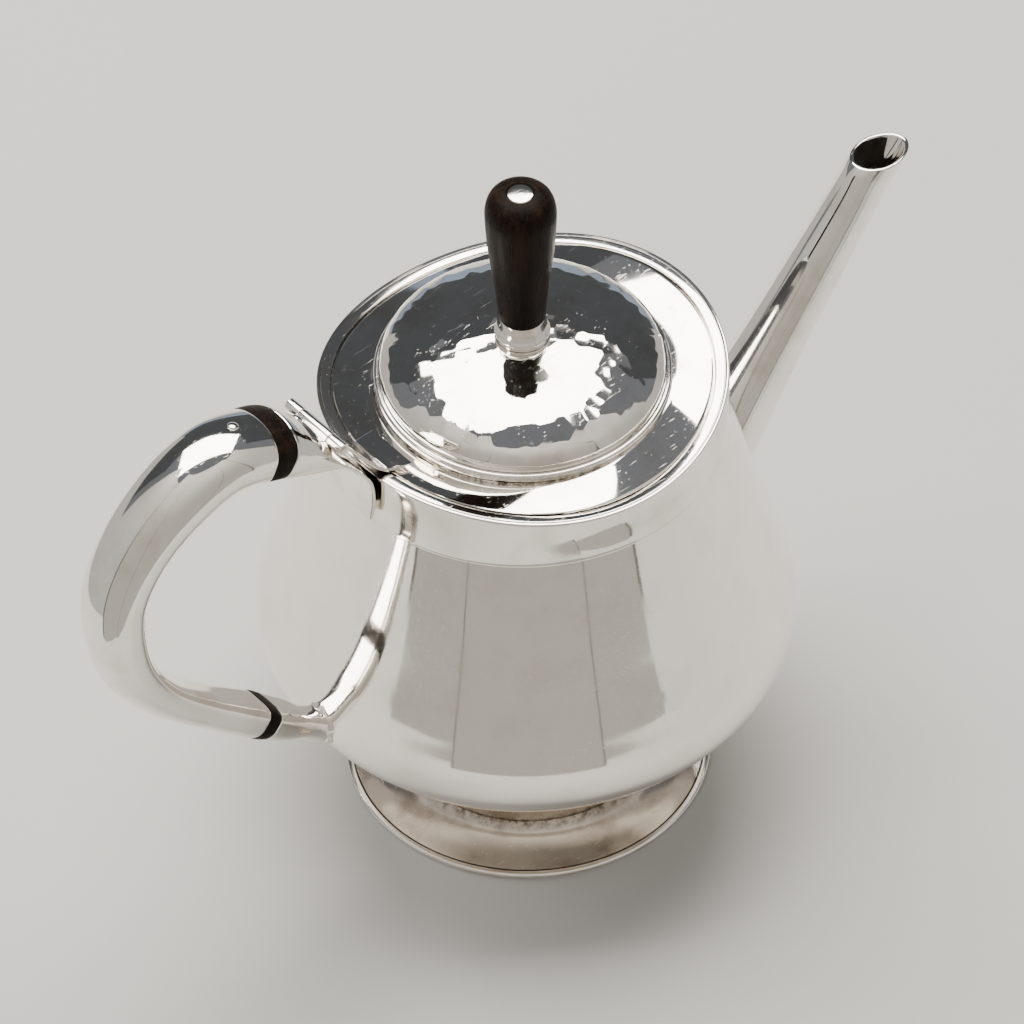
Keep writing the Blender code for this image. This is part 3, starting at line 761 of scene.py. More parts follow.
@dataclass(frozen=True)
class PaperFinish:
    """Matt pale studio paper."""

    name: str
    colour: tuple[float, float, float]

    def material(self) -> bpy.types.Material:
        """Builds the paper with its faint unevenness.

        Returns:
            The material.
        """
        sheet = ShaderSheet(self.name)
        cloud = sheet.noise(sheet.place((1.0, 1.0, 1.0)), 5.0, 3.0)
        deeper = tuple(c * 0.97 for c in self.colour)
        sheet.join(sheet.mix(cloud, self.colour, deeper), sheet.shader.inputs["Base Color"])
        fibres = sheet.noise(sheet.place((1.0, 1.0, 1.0)), 900.0, 2.0)
        sheet.join(sheet.bump(fibres, 0.00002), sheet.shader.inputs["Normal"])
        sheet.shader.inputs["Roughness"].default_value = 0.85
        sheet.shader.inputs["Specular IOR Level"].default_value = 0.15
        return sheet.material


@dataclass(frozen=True)
class GlowFinish:
    """A card that glows evenly, as a lit diffuser or a lit wall does."""

    name: str
    colour: tuple[float, float, float]
    strength: float

    def material(self) -> bpy.types.Material:
        """Builds the glowing card's material.

        Returns:
            The material.
        """
        sheet = ShaderSheet(self.name)
        sheet.shader.inputs["Base Color"].default_value = (0.0, 0.0, 0.0, 1.0)
        sheet.shader.inputs["Emission Color"].default_value = (*self.colour, 1.0)
        sheet.shader.inputs["Emission Strength"].default_value = self.strength
        return sheet.material


# ---------------------------------------------------------------- geometry nodes
class NodeRecipe(NodeSheet):
    """A Geometry Nodes tree with named inputs, run once on a carrier mesh."""

    def __init__(self, name: str) -> None:
        """Starts a tree that takes a geometry in and gives one out.

        Args:
            name: the tree's name.
        """
        self.tree = bpy.data.node_groups.new(name, "GeometryNodeTree")
        self.tree.interface.new_socket("Geometry", in_out="INPUT", socket_type="NodeSocketGeometry")
        self.tree.interface.new_socket("Geometry", in_out="OUTPUT", socket_type="NodeSocketGeometry")
        self.start = self.tree.nodes.new("NodeGroupInput")
        self.end = self.tree.nodes.new("NodeGroupOutput")
        self.ids: dict[str, str] = {}

    def size(self, name: str, value: float, kind: str = "NodeSocketFloat") -> bpy.types.NodeSocket:
        """Adds a named input.

        Args:
            name: the input's name.
            value: its default.
            kind: its socket type.

        Returns:
            The socket that gives the input's value inside the tree.
        """
        item = self.tree.interface.new_socket(name, in_out="INPUT", socket_type=kind)
        item.default_value = value
        self.ids[name] = item.identifier
        return self.start.outputs[name]

    def vector(self, x: object = 0.0, y: object = 0.0, z: object = 0.0) -> bpy.types.NodeSocket:
        """A vector of numbers or sockets.

        Args:
            x: the first coordinate.
            y: the second one.
            z: the third one.

        Returns:
            The vector.
        """
        node = self.add("ShaderNodeCombineXYZ")
        self.fill(node.inputs, (x, y, z))
        return node.outputs[0]

    def finish(self, geometry: bpy.types.NodeSocket, material: bpy.types.Material | None) -> None:
        """Ends the tree in Realize Instances and Set Material.

        Args:
            geometry: what the tree has made.
            material: the material that it wears.
        """
        realize = self.add("GeometryNodeRealizeInstances")
        self.join(geometry, realize.inputs["Geometry"])
        dress = self.add("GeometryNodeSetMaterial")
        dress.inputs["Material"].default_value = material
        self.join(realize.outputs["Geometry"], dress.inputs["Geometry"])
        self.join(dress.outputs["Geometry"], self.end.inputs["Geometry"])

    def run(
        self, carrier: bpy.types.Mesh, sizes: dict[str, float], place: Matrix | None = None
    ) -> bpy.types.Mesh:
        """Runs the tree and brings the result to the row's frame.

        Args:
            carrier: the mesh that the tree starts from.
            sizes: a value for each named input that differs from its default.
            place: where the result goes, about the pot's own axis.

        Returns:
            The plain mesh that the tree made.
        """
        holder = bpy.data.objects.new("recipe_holder", carrier)
        bpy.context.scene.collection.objects.link(holder)
        modifier = holder.modifiers.new("recipe", "NODES")
        modifier.node_group = self.tree
        for name, value in sizes.items():
            modifier[self.ids[name]] = value
        mesh = evaluated_mesh(holder)
        bpy.data.objects.remove(holder)
        mesh.transform(Matrix.Translation((AXIS_X, 0.0, 0.0)) @ (place or Matrix.Identity(4)))
        return tidied(mesh)


def carrier_of(points: list[Vector], facing: list[Vector] | None = None) -> bpy.types.Mesh:
    """Loose points for a tree to start from, each with the direction that it faces.

    Args:
        points: the points' places.
        facing: the directions, stored as the attribute "facing".

    Returns:
        The mesh of points.
    """
    mesh = bpy.data.meshes.new("carrier")
    mesh.from_pydata([tuple(p) for p in points], [], [])
    if facing:
        attribute = mesh.attributes.new("facing", "FLOAT_VECTOR", "POINT")
        attribute.data.foreach_set("vector", [c for way in facing for c in way])
    return mesh


def ring_stock(material: bpy.types.Material) -> NodeRecipe:
    """A recipe for rings of wire or tube, bent round the Z axis and repeated along it.

    Args:
        material: the rings' finish.

    Returns:
        The recipe, with the inputs Path Radius, Width, Height, Corner, Level, Pitch and Count.
    """
    recipe = NodeRecipe("ring_stock")
    radius = recipe.size("Path Radius", 0.01)
    width = recipe.size("Width", 0.002)
    height = recipe.size("Height", 0.002)
    corner = recipe.size("Corner", 0.0005)
    level = recipe.size("Level", 0.0)
    pitch = recipe.size("Pitch", 0.01)
    count = recipe.size("Count", 1, "NodeSocketInt")
    path = recipe.add("GeometryNodeCurvePrimitiveCircle")
    path.inputs["Resolution"].default_value = 160
    recipe.join(radius, path.inputs["Radius"])
    section = recipe.add("GeometryNodeCurvePrimitiveQuadrilateral")
    recipe.join(width, section.inputs["Width"])
    recipe.join(height, section.inputs["Height"])
    fillet = recipe.add("GeometryNodeFilletCurve", mode="POLY")
    fillet.inputs["Count"].default_value = 6
    recipe.join(section.outputs["Curve"], fillet.inputs["Curve"])
    recipe.join(corner, fillet.inputs["Radius"])
    sweep = recipe.add("GeometryNodeCurveToMesh")
    recipe.join(path.outputs["Curve"], sweep.inputs["Curve"])
    recipe.join(fillet.outputs["Curve"], sweep.inputs["Profile Curve"])
    places = recipe.add("GeometryNodeMeshLine", mode="OFFSET")
    recipe.join(count, places.inputs["Count"])
    recipe.join(recipe.vector(z=level), places.inputs["Start Location"])
    recipe.join(recipe.vector(z=pitch), places.inputs["Offset"])
    copies = recipe.add("GeometryNodeInstanceOnPoints")
    recipe.join(places.outputs["Mesh"], copies.inputs["Points"])
    recipe.join(sweep.outputs["Mesh"], copies.inputs["Instance"])
    recipe.finish(copies.outputs["Instances"], material)
    return recipe


def rivet_setting(material: bpy.types.Material) -> NodeRecipe:
    """A recipe that sets a domed rivet on each point, facing the way that the point says.

    Args:
        material: the rivets' finish.

    Returns:
        The recipe, with the inputs Head Radius, Head Height, Stem Radius and Stem Length.
    """
    recipe = NodeRecipe("rivet_setting")
    head_radius = recipe.size("Head Radius", 0.0015)
    head_height = recipe.size("Head Height", 0.0006)
    stem_radius = recipe.size("Stem Radius", 0.0009)
    stem_length = recipe.size("Stem Length", 0.006)
    ball = recipe.add("GeometryNodeMeshUVSphere")
    ball.inputs["Segments"].default_value = 40
    ball.inputs["Rings"].default_value = 24
    recipe.join(head_radius, ball.inputs["Radius"])
    flatten = recipe.add("GeometryNodeTransform")
    share = recipe.sum(head_height, head_radius, "DIVIDE")
    recipe.join(ball.outputs["Mesh"], flatten.inputs["Geometry"])
    recipe.join(recipe.vector(1.0, 1.0, share), flatten.inputs["Scale"])
    stem = recipe.add("GeometryNodeMeshCylinder", fill_type="NGON")
    stem.inputs["Vertices"].default_value = 32
    recipe.join(stem_radius, stem.inputs["Radius"])
    recipe.join(stem_length, stem.inputs["Depth"])
    lower = recipe.add("GeometryNodeTransform")
    drop = recipe.sum(recipe.sum(stem_length, -0.5, "MULTIPLY"), head_height, "SUBTRACT")
    recipe.join(stem.outputs["Mesh"], lower.inputs["Geometry"])
    recipe.join(recipe.vector(z=drop), lower.inputs["Translation"])
    both = recipe.add("GeometryNodeJoinGeometry")
    recipe.join(lower.outputs["Geometry"], both.inputs["Geometry"])
    recipe.join(flatten.outputs["Geometry"], both.inputs["Geometry"])
    facing = recipe.add("GeometryNodeInputNamedAttribute", data_type="FLOAT_VECTOR")
    facing.inputs["Name"].default_value = "facing"
    turn = recipe.add("FunctionNodeAlignRotationToVector", axis="Z")
    recipe.join(facing.outputs["Attribute"], turn.inputs["Vector"])
    copies = recipe.add("GeometryNodeInstanceOnPoints")
    recipe.join(recipe.start.outputs["Geometry"], copies.inputs["Points"])
    recipe.join(both.outputs["Geometry"], copies.inputs["Instance"])
    recipe.join(turn.outputs["Rotation"], copies.inputs["Rotation"])
    recipe.finish(copies.outputs["Instances"], material)
    return recipe


def strainer_punch() -> NodeRecipe:
    """A recipe for the punches that pierce the strainer, one in the middle and six round it.

    Returns:
        The recipe, with the inputs Pitch, Hole Radius and Depth.
    """
    recipe = NodeRecipe("strainer_punch")
    pitch = recipe.size("Pitch", 0.0046)
    hole = recipe.size("Hole Radius", 0.0014)
    depth = recipe.size("Depth", 0.024)
    ring = recipe.add("GeometryNodeMeshCircle", fill_type="NONE")
    ring.inputs["Vertices"].default_value = 6
    recipe.join(pitch, ring.inputs["Radius"])
    middle = recipe.add("GeometryNodeMeshLine", mode="OFFSET")
    middle.inputs["Count"].default_value = 1
    places = recipe.add("GeometryNodeJoinGeometry")
    recipe.join(ring.outputs["Mesh"], places.inputs["Geometry"])
    recipe.join(middle.outputs["Mesh"], places.inputs["Geometry"])
    punch = recipe.add("GeometryNodeMeshCylinder", fill_type="NGON")
    punch.inputs["Vertices"].default_value = 28
    recipe.join(hole, punch.inputs["Radius"])
    recipe.join(depth, punch.inputs["Depth"])
    copies = recipe.add("GeometryNodeInstanceOnPoints")
    recipe.join(places.outputs["Geometry"], copies.inputs["Points"])
    recipe.join(punch.outputs["Mesh"], copies.inputs["Instance"])
    recipe.finish(copies.outputs["Instances"], None)
    return recipe


# ---------------------------------------------------------------- the rim's sweep
@dataclass(frozen=True)
class RimSweep:
    """How the rim rises and widens round the pot.

    Attributes:
        radius: the rim's mean outer radius.
        height: the rim's mean height.
        saddle: how far it rises at the spout and the handle and falls at the sides.
        tilt: how far the handle side stands higher.
        oval: how far it is longer than it is wide.
        collar_radius: the collar's radius at its base.
        collar_base: the height where the collar starts.
    """

    radius: float = 0.0512
    height: float = 0.1343
    saddle: float = 0.0032
    tilt: float = 0.0012
    oval: float = 0.0014
    collar_radius: float = 0.0516
    collar_base: float = 0.1200

    def bend(self, rings: np.ndarray, share: np.ndarray) -> np.ndarray:
        """Makes turned rings follow the rim.

        Args:
            rings: the rings of points.
            share: how far each ring follows, from 0 to 1.

        Returns:
            The bent rings.
        """
        angle = np.arctan2(rings[..., 1], rings[..., 0])
        radius = np.maximum(np.hypot(rings[..., 0], rings[..., 1]), 1e-9)
        out = self.oval * np.cos(2 * angle) * share[:, None]
        up = (self.saddle * np.cos(2 * angle) - self.tilt * np.cos(angle)) * share[:, None]
        bent = rings.copy()
        bent[..., 0] *= 1 + out / radius
        bent[..., 1] *= 1 + out / radius
        bent[..., 2] += up
        return bent

    @property
    def handle_end(self) -> Point:
        """The rim's reach and height at the handle."""
        return self.radius + self.oval, self.height + self.saddle + self.tilt


RIM = RimSweep()


# ---------------------------------------------------------------- foot
@dataclass
class Foot:
    """The flared foot with its edge wire, and the neck that carries the body."""

    radius: float = 0.0462
    wire_width: float = 0.0019
    wire_height: float = 0.0015
    neck_radius: float = 0.0332
    neck_base: float = 0.0072
    neck_top: float = 0.0186
    neck_wall: float = 0.0040
    steps: int = 256

    def flange(self) -> bpy.types.Mesh:
        """The flared sheet between the neck and the wire.

        Returns:
            The mesh.
        """
        inner = self.radius - self.wire_width - 0.0001
        neck = self.neck_radius
        upper = [
            (neck - 0.0004, self.neck_base),
            (neck + 0.0018, 0.0046),
            (neck + 0.0060, 0.0026),
            (inner, self.wire_height - 0.0001),
        ]
        line = smooth_curve(upper, 14)
        line += rounded(
            [
                (inner, 0.0),
                (inner - 0.0022, 0.0),
                (neck + 0.0044, 0.0012),
                (neck, 0.0034),
                (neck - self.neck_wall, self.neck_base),
            ],
            0.0004,
        )
        return skin("foot_flange", turned(line, self.steps), wrap=True)

    def neck(self) -> bpy.types.Mesh:
        """The turned ring between the foot and the body, with a soft bead at its middle.

        Returns:
            The mesh.
        """
        radius = self.neck_radius
        low, high = self.neck_base, self.neck_top
        line = smooth_curve(
            [
                (radius - 0.0011, high),
                (radius - 0.0004, high - 0.0022),
                (radius + 0.0004, (low + high) / 2 + 0.0006),
                (radius + 0.0002, low + 0.0016),
                (radius - 0.0003, low - 0.0002),
            ],
            8,
        )
        line += [(radius - self.neck_wall, low - 0.0002), (radius - self.neck_wall, high - 0.0014)]
        return skin("foot_neck_ring", turned(line, self.steps), wrap=True)

    def build(self, worn_and_shaded: SilverFinish, wire: SilverFinish) -> None:
        """Makes the foot's three pieces.

        Args:
            worn_and_shaded: the finish of the flange and the neck, worn silver darkened with painted shade.
            wire: the finish of the edge wire.
        """
        dull = worn_and_shaded.material()
        place_piece("foot_flange", self.flange(), Body.POT, Slot.WORN_AND_SHADED, dull, "foot")
        place_piece("foot_neck_ring", self.neck(), Body.POT, Slot.WORN_AND_SHADED, dull, "neck_ring")
        bright = wire.material()
        recipe = ring_stock(bright)
        sizes = {
            "Path Radius": self.radius - self.wire_width / 2,
            "Width": self.wire_width,
            "Height": self.wire_height,
            "Corner": 0.0006,
            "Level": self.wire_height / 2,
        }
        mesh = recipe.run(carrier_of([Vector()]), sizes)
        place_piece("foot_edge_wire", mesh, Body.POT, Slot.POLISHED, bright, "foot_wire")


# ---------------------------------------------------------------- body
@dataclass
class RaisedBody:
    """The raised belly and shoulder, the collar above them and the bezel inside the rim."""

    bottom: Point = (0.0200, 0.0125)
    underside: Point = (0.0430, 0.0247)
    flank: Point = (0.0572, 0.0368)
    belly_low: Point = (0.0658, 0.0472)
    belly: Point = (0.0678, 0.0562)
    belly_high: Point = (0.0652, 0.0672)
    shoulder: Point = (0.0600, 0.0850)
    bezel_width: float = 0.0024
    bezel_drop: float = 0.0003
    ledge_width: float = 0.0010
    ledge_thickness: float = 0.0014
    plate_thickness: float = 0.0012
    steps: int = 400
    marks: Planishing = field(
        default_factory=lambda: Planishing(0.0058, 0.75, 0.000002, 0.000002, 11)
    )

    def line(self) -> list[Point]:
        """The outside of the body from the collar down to the middle of its bottom.

        Returns:
            Its points.
        """
        stations = [
            (RIM.collar_radius, RIM.collar_base),
            self.shoulder,
            self.belly_high,
            self.belly,
            self.belly_low,
            self.flank,
            self.underside,
            self.bottom,
        ]
        return smooth_curve(stations, 24) + [(0.0, self.bottom[1])]

    def radius_at(self, height: float) -> float:
        """The body's outer radius at a height."""
        line = np.array(self.line()[::-1][1:])
        return float(np.interp(height, line[:, 1], line[:, 0]))

    def shell(self, punch: bpy.types.Mesh) -> bpy.types.Mesh:
        """The raised shell with its strainer holes.

        Args:
            punch: the cutters of the strainer.

        Returns:
            The shell's mesh.
        """
        outer_line = even_line(self.line(), 150)
        heights = np.array(outer_line)[:, 1]
        weight = 0.45 + 1.5 * (1 - smooth_share(heights, 0.034, 0.056))
        outer = hammered(outer_line, self.steps, self.marks, weight)
        inner_line = offset_line(even_line(self.line(), 44), -SHEET)[::-1]
        inner = turned(inner_line, self.steps)
        mesh = skin("body_shell_raised", np.concatenate([outer, inner]), wrap=True)
        return tidied(carved(mesh, punch), 50.0)

    def collar(self) -> bpy.types.Mesh:
        """The collar band with its rolled top edge and the soft step at its base.

        Returns:
            The mesh.
        """
        top = RIM.height
        base = RIM.collar_base - 0.0001
        outside = smooth_curve(
            [
                (RIM.radius - 0.00055, top + 0.00002),
                (RIM.radius - 0.0002, top - 0.00006),
                (RIM.radius, top - 0.0004),
                (RIM.radius + 0.00006, top - 0.0020),
                (RIM.radius + 0.0001, top - 0.0070),
                (RIM.collar_radius + 0.00002, base + 0.0016),
                (RIM.collar_radius + 0.0002, base + 0.0004),
                (RIM.collar_radius + 0.0001, base),
            ],
            8,
        )
        inside = [(RIM.collar_radius - SHEET, base), (RIM.radius - SHEET, top - 0.0003)]
        line = outside + even_line(inside, 16)
        share = smooth_share(np.array(line)[:, 1], RIM.collar_base, RIM.height)
        rings = RIM.bend(turned(line, self.steps), share)
        return skin("body_collar", rings, wrap=True)

    def bezel(self) -> bpy.types.Mesh:
        """The sloping bezel inside the rim, with the ledge that carries the lid.

        Returns:
            The mesh.
        """
        outer = RIM.radius - SHEET + 0.00005
        inner = outer - self.bezel_width
        plate_top = RIM.height - self.bezel_drop
        ledge = plate_top - self.plate_thickness - GAP
        corners = [
            (outer, RIM.height - 0.00005),
            (outer, ledge - self.ledge_thickness),
            (inner - self.ledge_width, ledge - self.ledge_thickness),
            (inner - self.ledge_width, ledge),
            (inner, ledge),
            (inner, plate_top + 0.0001),
        ]
        line = rounded(corners, 0.00028)
        rings = RIM.bend(turned(line, self.steps), np.ones(len(line)))
        return skin("rim_bezel_slope", rings, wrap=True)

    def build(self, planished: SilverFinish, polished: SilverFinish, punch: bpy.types.Mesh) -> None:
        """Makes the body's three pieces.

        Args:
            planished: the shell's finish.
            polished: the finish of the collar and the bezel.
            punch: the cutters of the strainer.
        """
        hammer = planished.material()
        bright = polished.material()
        place_piece("body_shell_raised", self.shell(punch), Body.POT, Slot.PLANISHED, hammer, "body_shell")
        place_piece("body_collar", self.collar(), Body.POT, Slot.POLISHED, bright, "collar_band")
        place_piece("rim_bezel_slope", self.bezel(), Body.POT, Slot.POLISHED, bright, "rim_bezel")


# ---------------------------------------------------------------- lid
@dataclass
class Lid:
    """The lid's plate, its locating ring, the planished dome and the bead round the dome."""

    plate_radius: float = 0.0471
    plate_top: float = 0.1340
    centre_rise: float = 0.0010
    thickness: float = 0.0012
    dome_radius: float = 0.0363
    dome_height: float = 0.0130
    bead_radius: float = 0.0010
    ring_depth: float = 0.0030
    ring_wall: float = 0.0010
    ring_radius: float = 0.0440
    steps: int = 400
    marks: Planishing = field(
        default_factory=lambda: Planishing(0.0041, 0.040, 0.000022, 0.000006, 5)
    )

    @property
    def centre_top(self) -> float:
        """The height of the plate's middle."""
        return self.plate_top + self.centre_rise

    @property
    def dome_base(self) -> float:
        """The height of the dome's open edge."""
        return self.centre_top + 2 * GAP + 2 * self.bead_radius

    @property
    def dome_top(self) -> float:
        """The height of the dome's crown."""
        return self.dome_base + self.dome_height

    def share(self, rings: np.ndarray) -> np.ndarray:
        """How far each ring of the plate follows the rim's sweep."""
        radius = np.hypot(rings[:, 0, 0], rings[:, 0, 1])
        return np.clip((radius - self.dome_radius) / (self.plate_radius - self.dome_radius), 0.0, 1.0)

    def plate(self) -> bpy.types.Mesh:
        """The flat plate between the dome and the bezel.

        Returns:
            The mesh.
        """
        bend = self.dome_radius + 0.0012
        inner = self.dome_radius - 0.0030
        edge = self.plate_radius
        top = [(inner, self.centre_top), (bend - 0.0006, self.centre_top)]
        top += [(bend + 0.0006, self.centre_top - 0.00014)]
        slope = [(edge - 0.0004, self.plate_top + 0.0001)]
        line = even_line([top[0], top[1]], 5) + even_line([top[2], slope[0]], 22)
        line += [(edge - 0.0001, self.plate_top + 0.00002), (edge, self.plate_top - 0.0001)]
        under = self.plate_top - self.thickness
        line += [(edge, under + 0.0001), (edge - 0.0001, under)]
        line += even_line([(edge - 0.0004, under), (bend, self.centre_top - self.thickness)], 12)
        line += [(inner, self.centre_top - self.thickness)]
        rings = turned(line, self.steps)
        return skin("lid_plate_flat", RIM.bend(rings, self.share(rings)), wrap=True)

    def locating_ring(self) -> bpy.types.Mesh:
        """The ring under the plate that drops inside the ledge.

        Returns:
            The mesh.
        """
        bend = self.dome_radius + 0.0012
        part = (self.ring_radius - bend) / (self.plate_radius - bend)
        under = self.centre_top - self.centre_rise * part - self.thickness
        low = under - GAP - self.ring_depth
        corners = [
            (self.ring_radius, under - 0.0001),
            (self.ring_radius, low),
            (self.ring_radius - self.ring_wall, low),
            (self.ring_radius - self.ring_wall, under - 0.0001),
        ]
        rings = turned(rounded(corners, 0.0002, 2), self.steps // 2)
        return skin("lid_seat_ring", RIM.bend(rings, self.share(rings)), wrap=True)

    def dome_line(self) -> list[Point]:
        """The outside of the dome from its crown down to its edge.

        Returns:
            Its points.
        """
        shares = ((0.0, 1.0), (0.34, 0.94), (0.68, 0.73), (0.90, 0.46), (0.985, 0.22), (0.99, 0.0))
        base, rise = self.dome_base, self.dome_height
        stations = [(self.dome_radius * r, base + rise * h) for r, h in shares]
        return smooth_curve(stations, 20)

    def dome(self) -> bpy.types.Mesh:
        """The planished dome with its wall.

        Returns:
            The mesh.
        """
        line = even_line(self.dome_line(), 92)
        heights = np.array(line)[:, 1]
        weight = 0.25 + 0.75 * smooth_share(heights, self.dome_base + 0.0005, self.dome_base + 0.004)
        outer = hammered(line, self.steps, self.marks, weight)
        inner = turned(offset_line(even_line(self.dome_line(), 26), -SHEET)[::-1], self.steps)
        return skin("lid_dome_raised", np.concatenate([outer, inner]), wrap=True)

    def build(self, planished: SilverFinish, polished: SilverFinish, beaded: SilverFinish) -> None:
        """Makes the lid's four pieces.

        Args:
            planished: the dome's finish.
            polished: the plate's finish.
            beaded: the finish of the bead and the locating ring.
        """
        bright = polished.material()
        hammer = planished.material()
        seam = beaded.material()
        place_piece("lid_plate_flat", self.plate(), Body.LID, Slot.POLISHED, bright, "lid_plate")
        place_piece("lid_seat_ring", self.locating_ring(), Body.LID, Slot.POLISHED, seam, "lid_locating_ring")
        place_piece("lid_dome_raised", self.dome(), Body.LID, Slot.PLANISHED, hammer, "lid_dome")
        sizes = {
            "Path Radius": self.dome_radius,
            "Width": 2 * self.bead_radius + 0.0002,
            "Height": 2 * self.bead_radius + 0.0004,
            "Corner": 0.00085,
            "Level": self.centre_top + GAP + self.bead_radius,
        }
        bead = ring_stock(seam).run(carrier_of([Vector()]), sizes)
        place_piece("lid_dome_wire", bead, Body.LID, Slot.POLISHED, seam, "dome_bead")


@dataclass
class Knob:
    """The ebony knob on its silver ferrule, with the rod, washer and nut that hold it."""

    dome_top: float
    dome_wall: float = SHEET
    ferrule_radius: float = 0.0061
    ferrule_height: float = 0.0062
    foot_radius: float = 0.0059
    radius: float = 0.0090
    length: float = 0.0430
    rod_radius: float = 0.0016
    head_radius: float = 0.0033
    head_thickness: float = 0.0010
    washer_radius: float = 0.0065
    washer_thickness: float = 0.0008
    washer_drop: float = 0.0008
    nut_across: float = 0.0068
    nut_thickness: float = 0.0026
    steps: int = 128

    @property
    def base(self) -> float:
        """The height where the wood starts."""
        return self.dome_top + self.ferrule_height + GAP

    @property
    def top(self) -> float:
        """The height where the wood ends."""
        return self.base + self.length

    @property
    def washer_top(self) -> float:
        """The height of the washer's upper face, under the dome's wall."""
        return self.dome_top - self.dome_wall - GAP - self.washer_drop

    def ferrule(self) -> bpy.types.Mesh:
        """The flared ferrule with a bead near its foot.

        Returns:
            The mesh.
        """
        base = self.dome_top - 0.0002
        top = base + self.ferrule_height + 0.0003
        line = smooth_curve(
            [
                (self.ferrule_radius - 0.0007, top),
                (self.ferrule_radius - 0.0003, top - 0.0002),
                (self.ferrule_radius - 0.0002, base + self.ferrule_height * 0.62),
                (self.ferrule_radius + 0.0002, base + self.ferrule_height * 0.44),
                (self.ferrule_radius + 0.0010, base + self.ferrule_height * 0.26),
                (self.ferrule_radius + 0.0006, base + self.ferrule_height * 0.13),
                (self.ferrule_radius + 0.0008, base),
            ],
            8,
        )
        line += [(self.rod_radius + GAP, base), (self.rod_radius + GAP, top)]
        return skin("knob_ferrule_turned", turned(line, self.steps), wrap=True)

    def wood(self) -> bpy.types.Mesh:
        """The turned knob with the recess for the rod's head.

        Returns:
            The mesh.
        """
        recess = self.head_radius + 0.00015
        floor = self.top - self.head_thickness - GAP
        side = [
            (recess + 0.0003, self.top + 0.0001),
            (self.radius * 0.55, self.top - 0.0001),
            (self.radius * 0.74, self.top - 0.0009),
            (self.radius * 0.90, self.top - 0.0024),
            (self.radius * 0.985, self.top - 0.0050),
            (self.radius, self.top - 0.0085),
            (self.radius * 0.93, self.top - 0.0190),
            (self.foot_radius * 1.14, self.base + 0.0100),
            (self.foot_radius, self.base),
        ]
        line = even_line(smooth_curve(side, 14), 110)
        bore = self.rod_radius + GAP
        line += [(bore, self.base), (bore, floor), (recess, floor), (recess, self.top - 0.0002)]
        return skin("knob_turned", turned(line, self.steps), wrap=True)

    def rod(self) -> bpy.types.Mesh:
        """The rod and its low domed head.

        Returns:
            The mesh.
        """
        head = self.top + 0.0002
        low = self.washer_top - self.washer_thickness
        end = low - GAP - self.nut_thickness - 0.0010
        crown = (self.head_radius * 0.6, head - 0.00006)
        line = smooth_curve([(0.0, head), crown, (self.head_radius - 0.0002, head - 0.0002)], 6)
        line += [(self.head_radius, head - 0.0004), (self.head_radius, head - self.head_thickness)]
        line += [(self.rod_radius, head - self.head_thickness), (self.rod_radius, end), (0.0, end)]
        return skin("knob_rod_head", turned(line, 96))

    def washer(self) -> bpy.types.Mesh:
        """The washer under the dome.

        Returns:
            The mesh.
        """
        top = self.washer_top
        bore = self.rod_radius + GAP
        low = top - self.washer_thickness
        corners = [(self.washer_radius, top), (self.washer_radius, low), (bore, low), (bore, top)]
        return skin("knob_washer_disc", turned(rounded(corners, 0.0002, 2), 96), wrap=True)

    def nut(self) -> bpy.types.Mesh:
        """The six-sided nut with its corners eased.

        Returns:
            The mesh.
        """
        top = self.washer_top - GAP - self.washer_thickness
        low = top - self.nut_thickness
        half = self.nut_across / 2
        bore = self.rod_radius + GAP
        corners = [(half, top), (half, low), (bore, low), (bore, top)]
        rings = turned(rounded(corners, 0.0003, 2), 96)
        angle = np.arctan2(rings[..., 1], rings[..., 0])
        inside = np.mod(angle, math.pi / 3) - math.pi / 6
        flat = half * math.cos(math.pi / 6) / np.cos(inside)
        radius = np.hypot(rings[..., 0], rings[..., 1])
        scale = np.minimum(1.0, flat / radius)
        rings[..., 0] *= scale
        rings[..., 1] *= scale
        return skin("knob_nut_hex", rings, wrap=True)

    def build(self, silver: SilverFinish, ebony: EbonyFinish) -> None:
        """Makes the knob's five pieces.

        Args:
            silver: the finish of the metal pieces.
            ebony: the finish of the wood.
        """
        bright = silver.material()
        place_piece("knob_ferrule_turned", self.ferrule(), Body.LID, Slot.POLISHED, bright, "knob_ferrule")
        place_piece("knob_turned", self.wood(), Body.LID, Slot.EBONY, ebony.material(), "knob")
        place_piece("knob_rod_head", self.rod(), Body.LID, Slot.POLISHED, bright, "knob_rod")
        place_piece("knob_washer_disc", self.washer(), Body.LID, Slot.POLISHED, bright, "knob_washer")
        place_piece("knob_nut_hex", self.nut(), Body.LID, Slot.POLISHED, bright, "knob_nut")


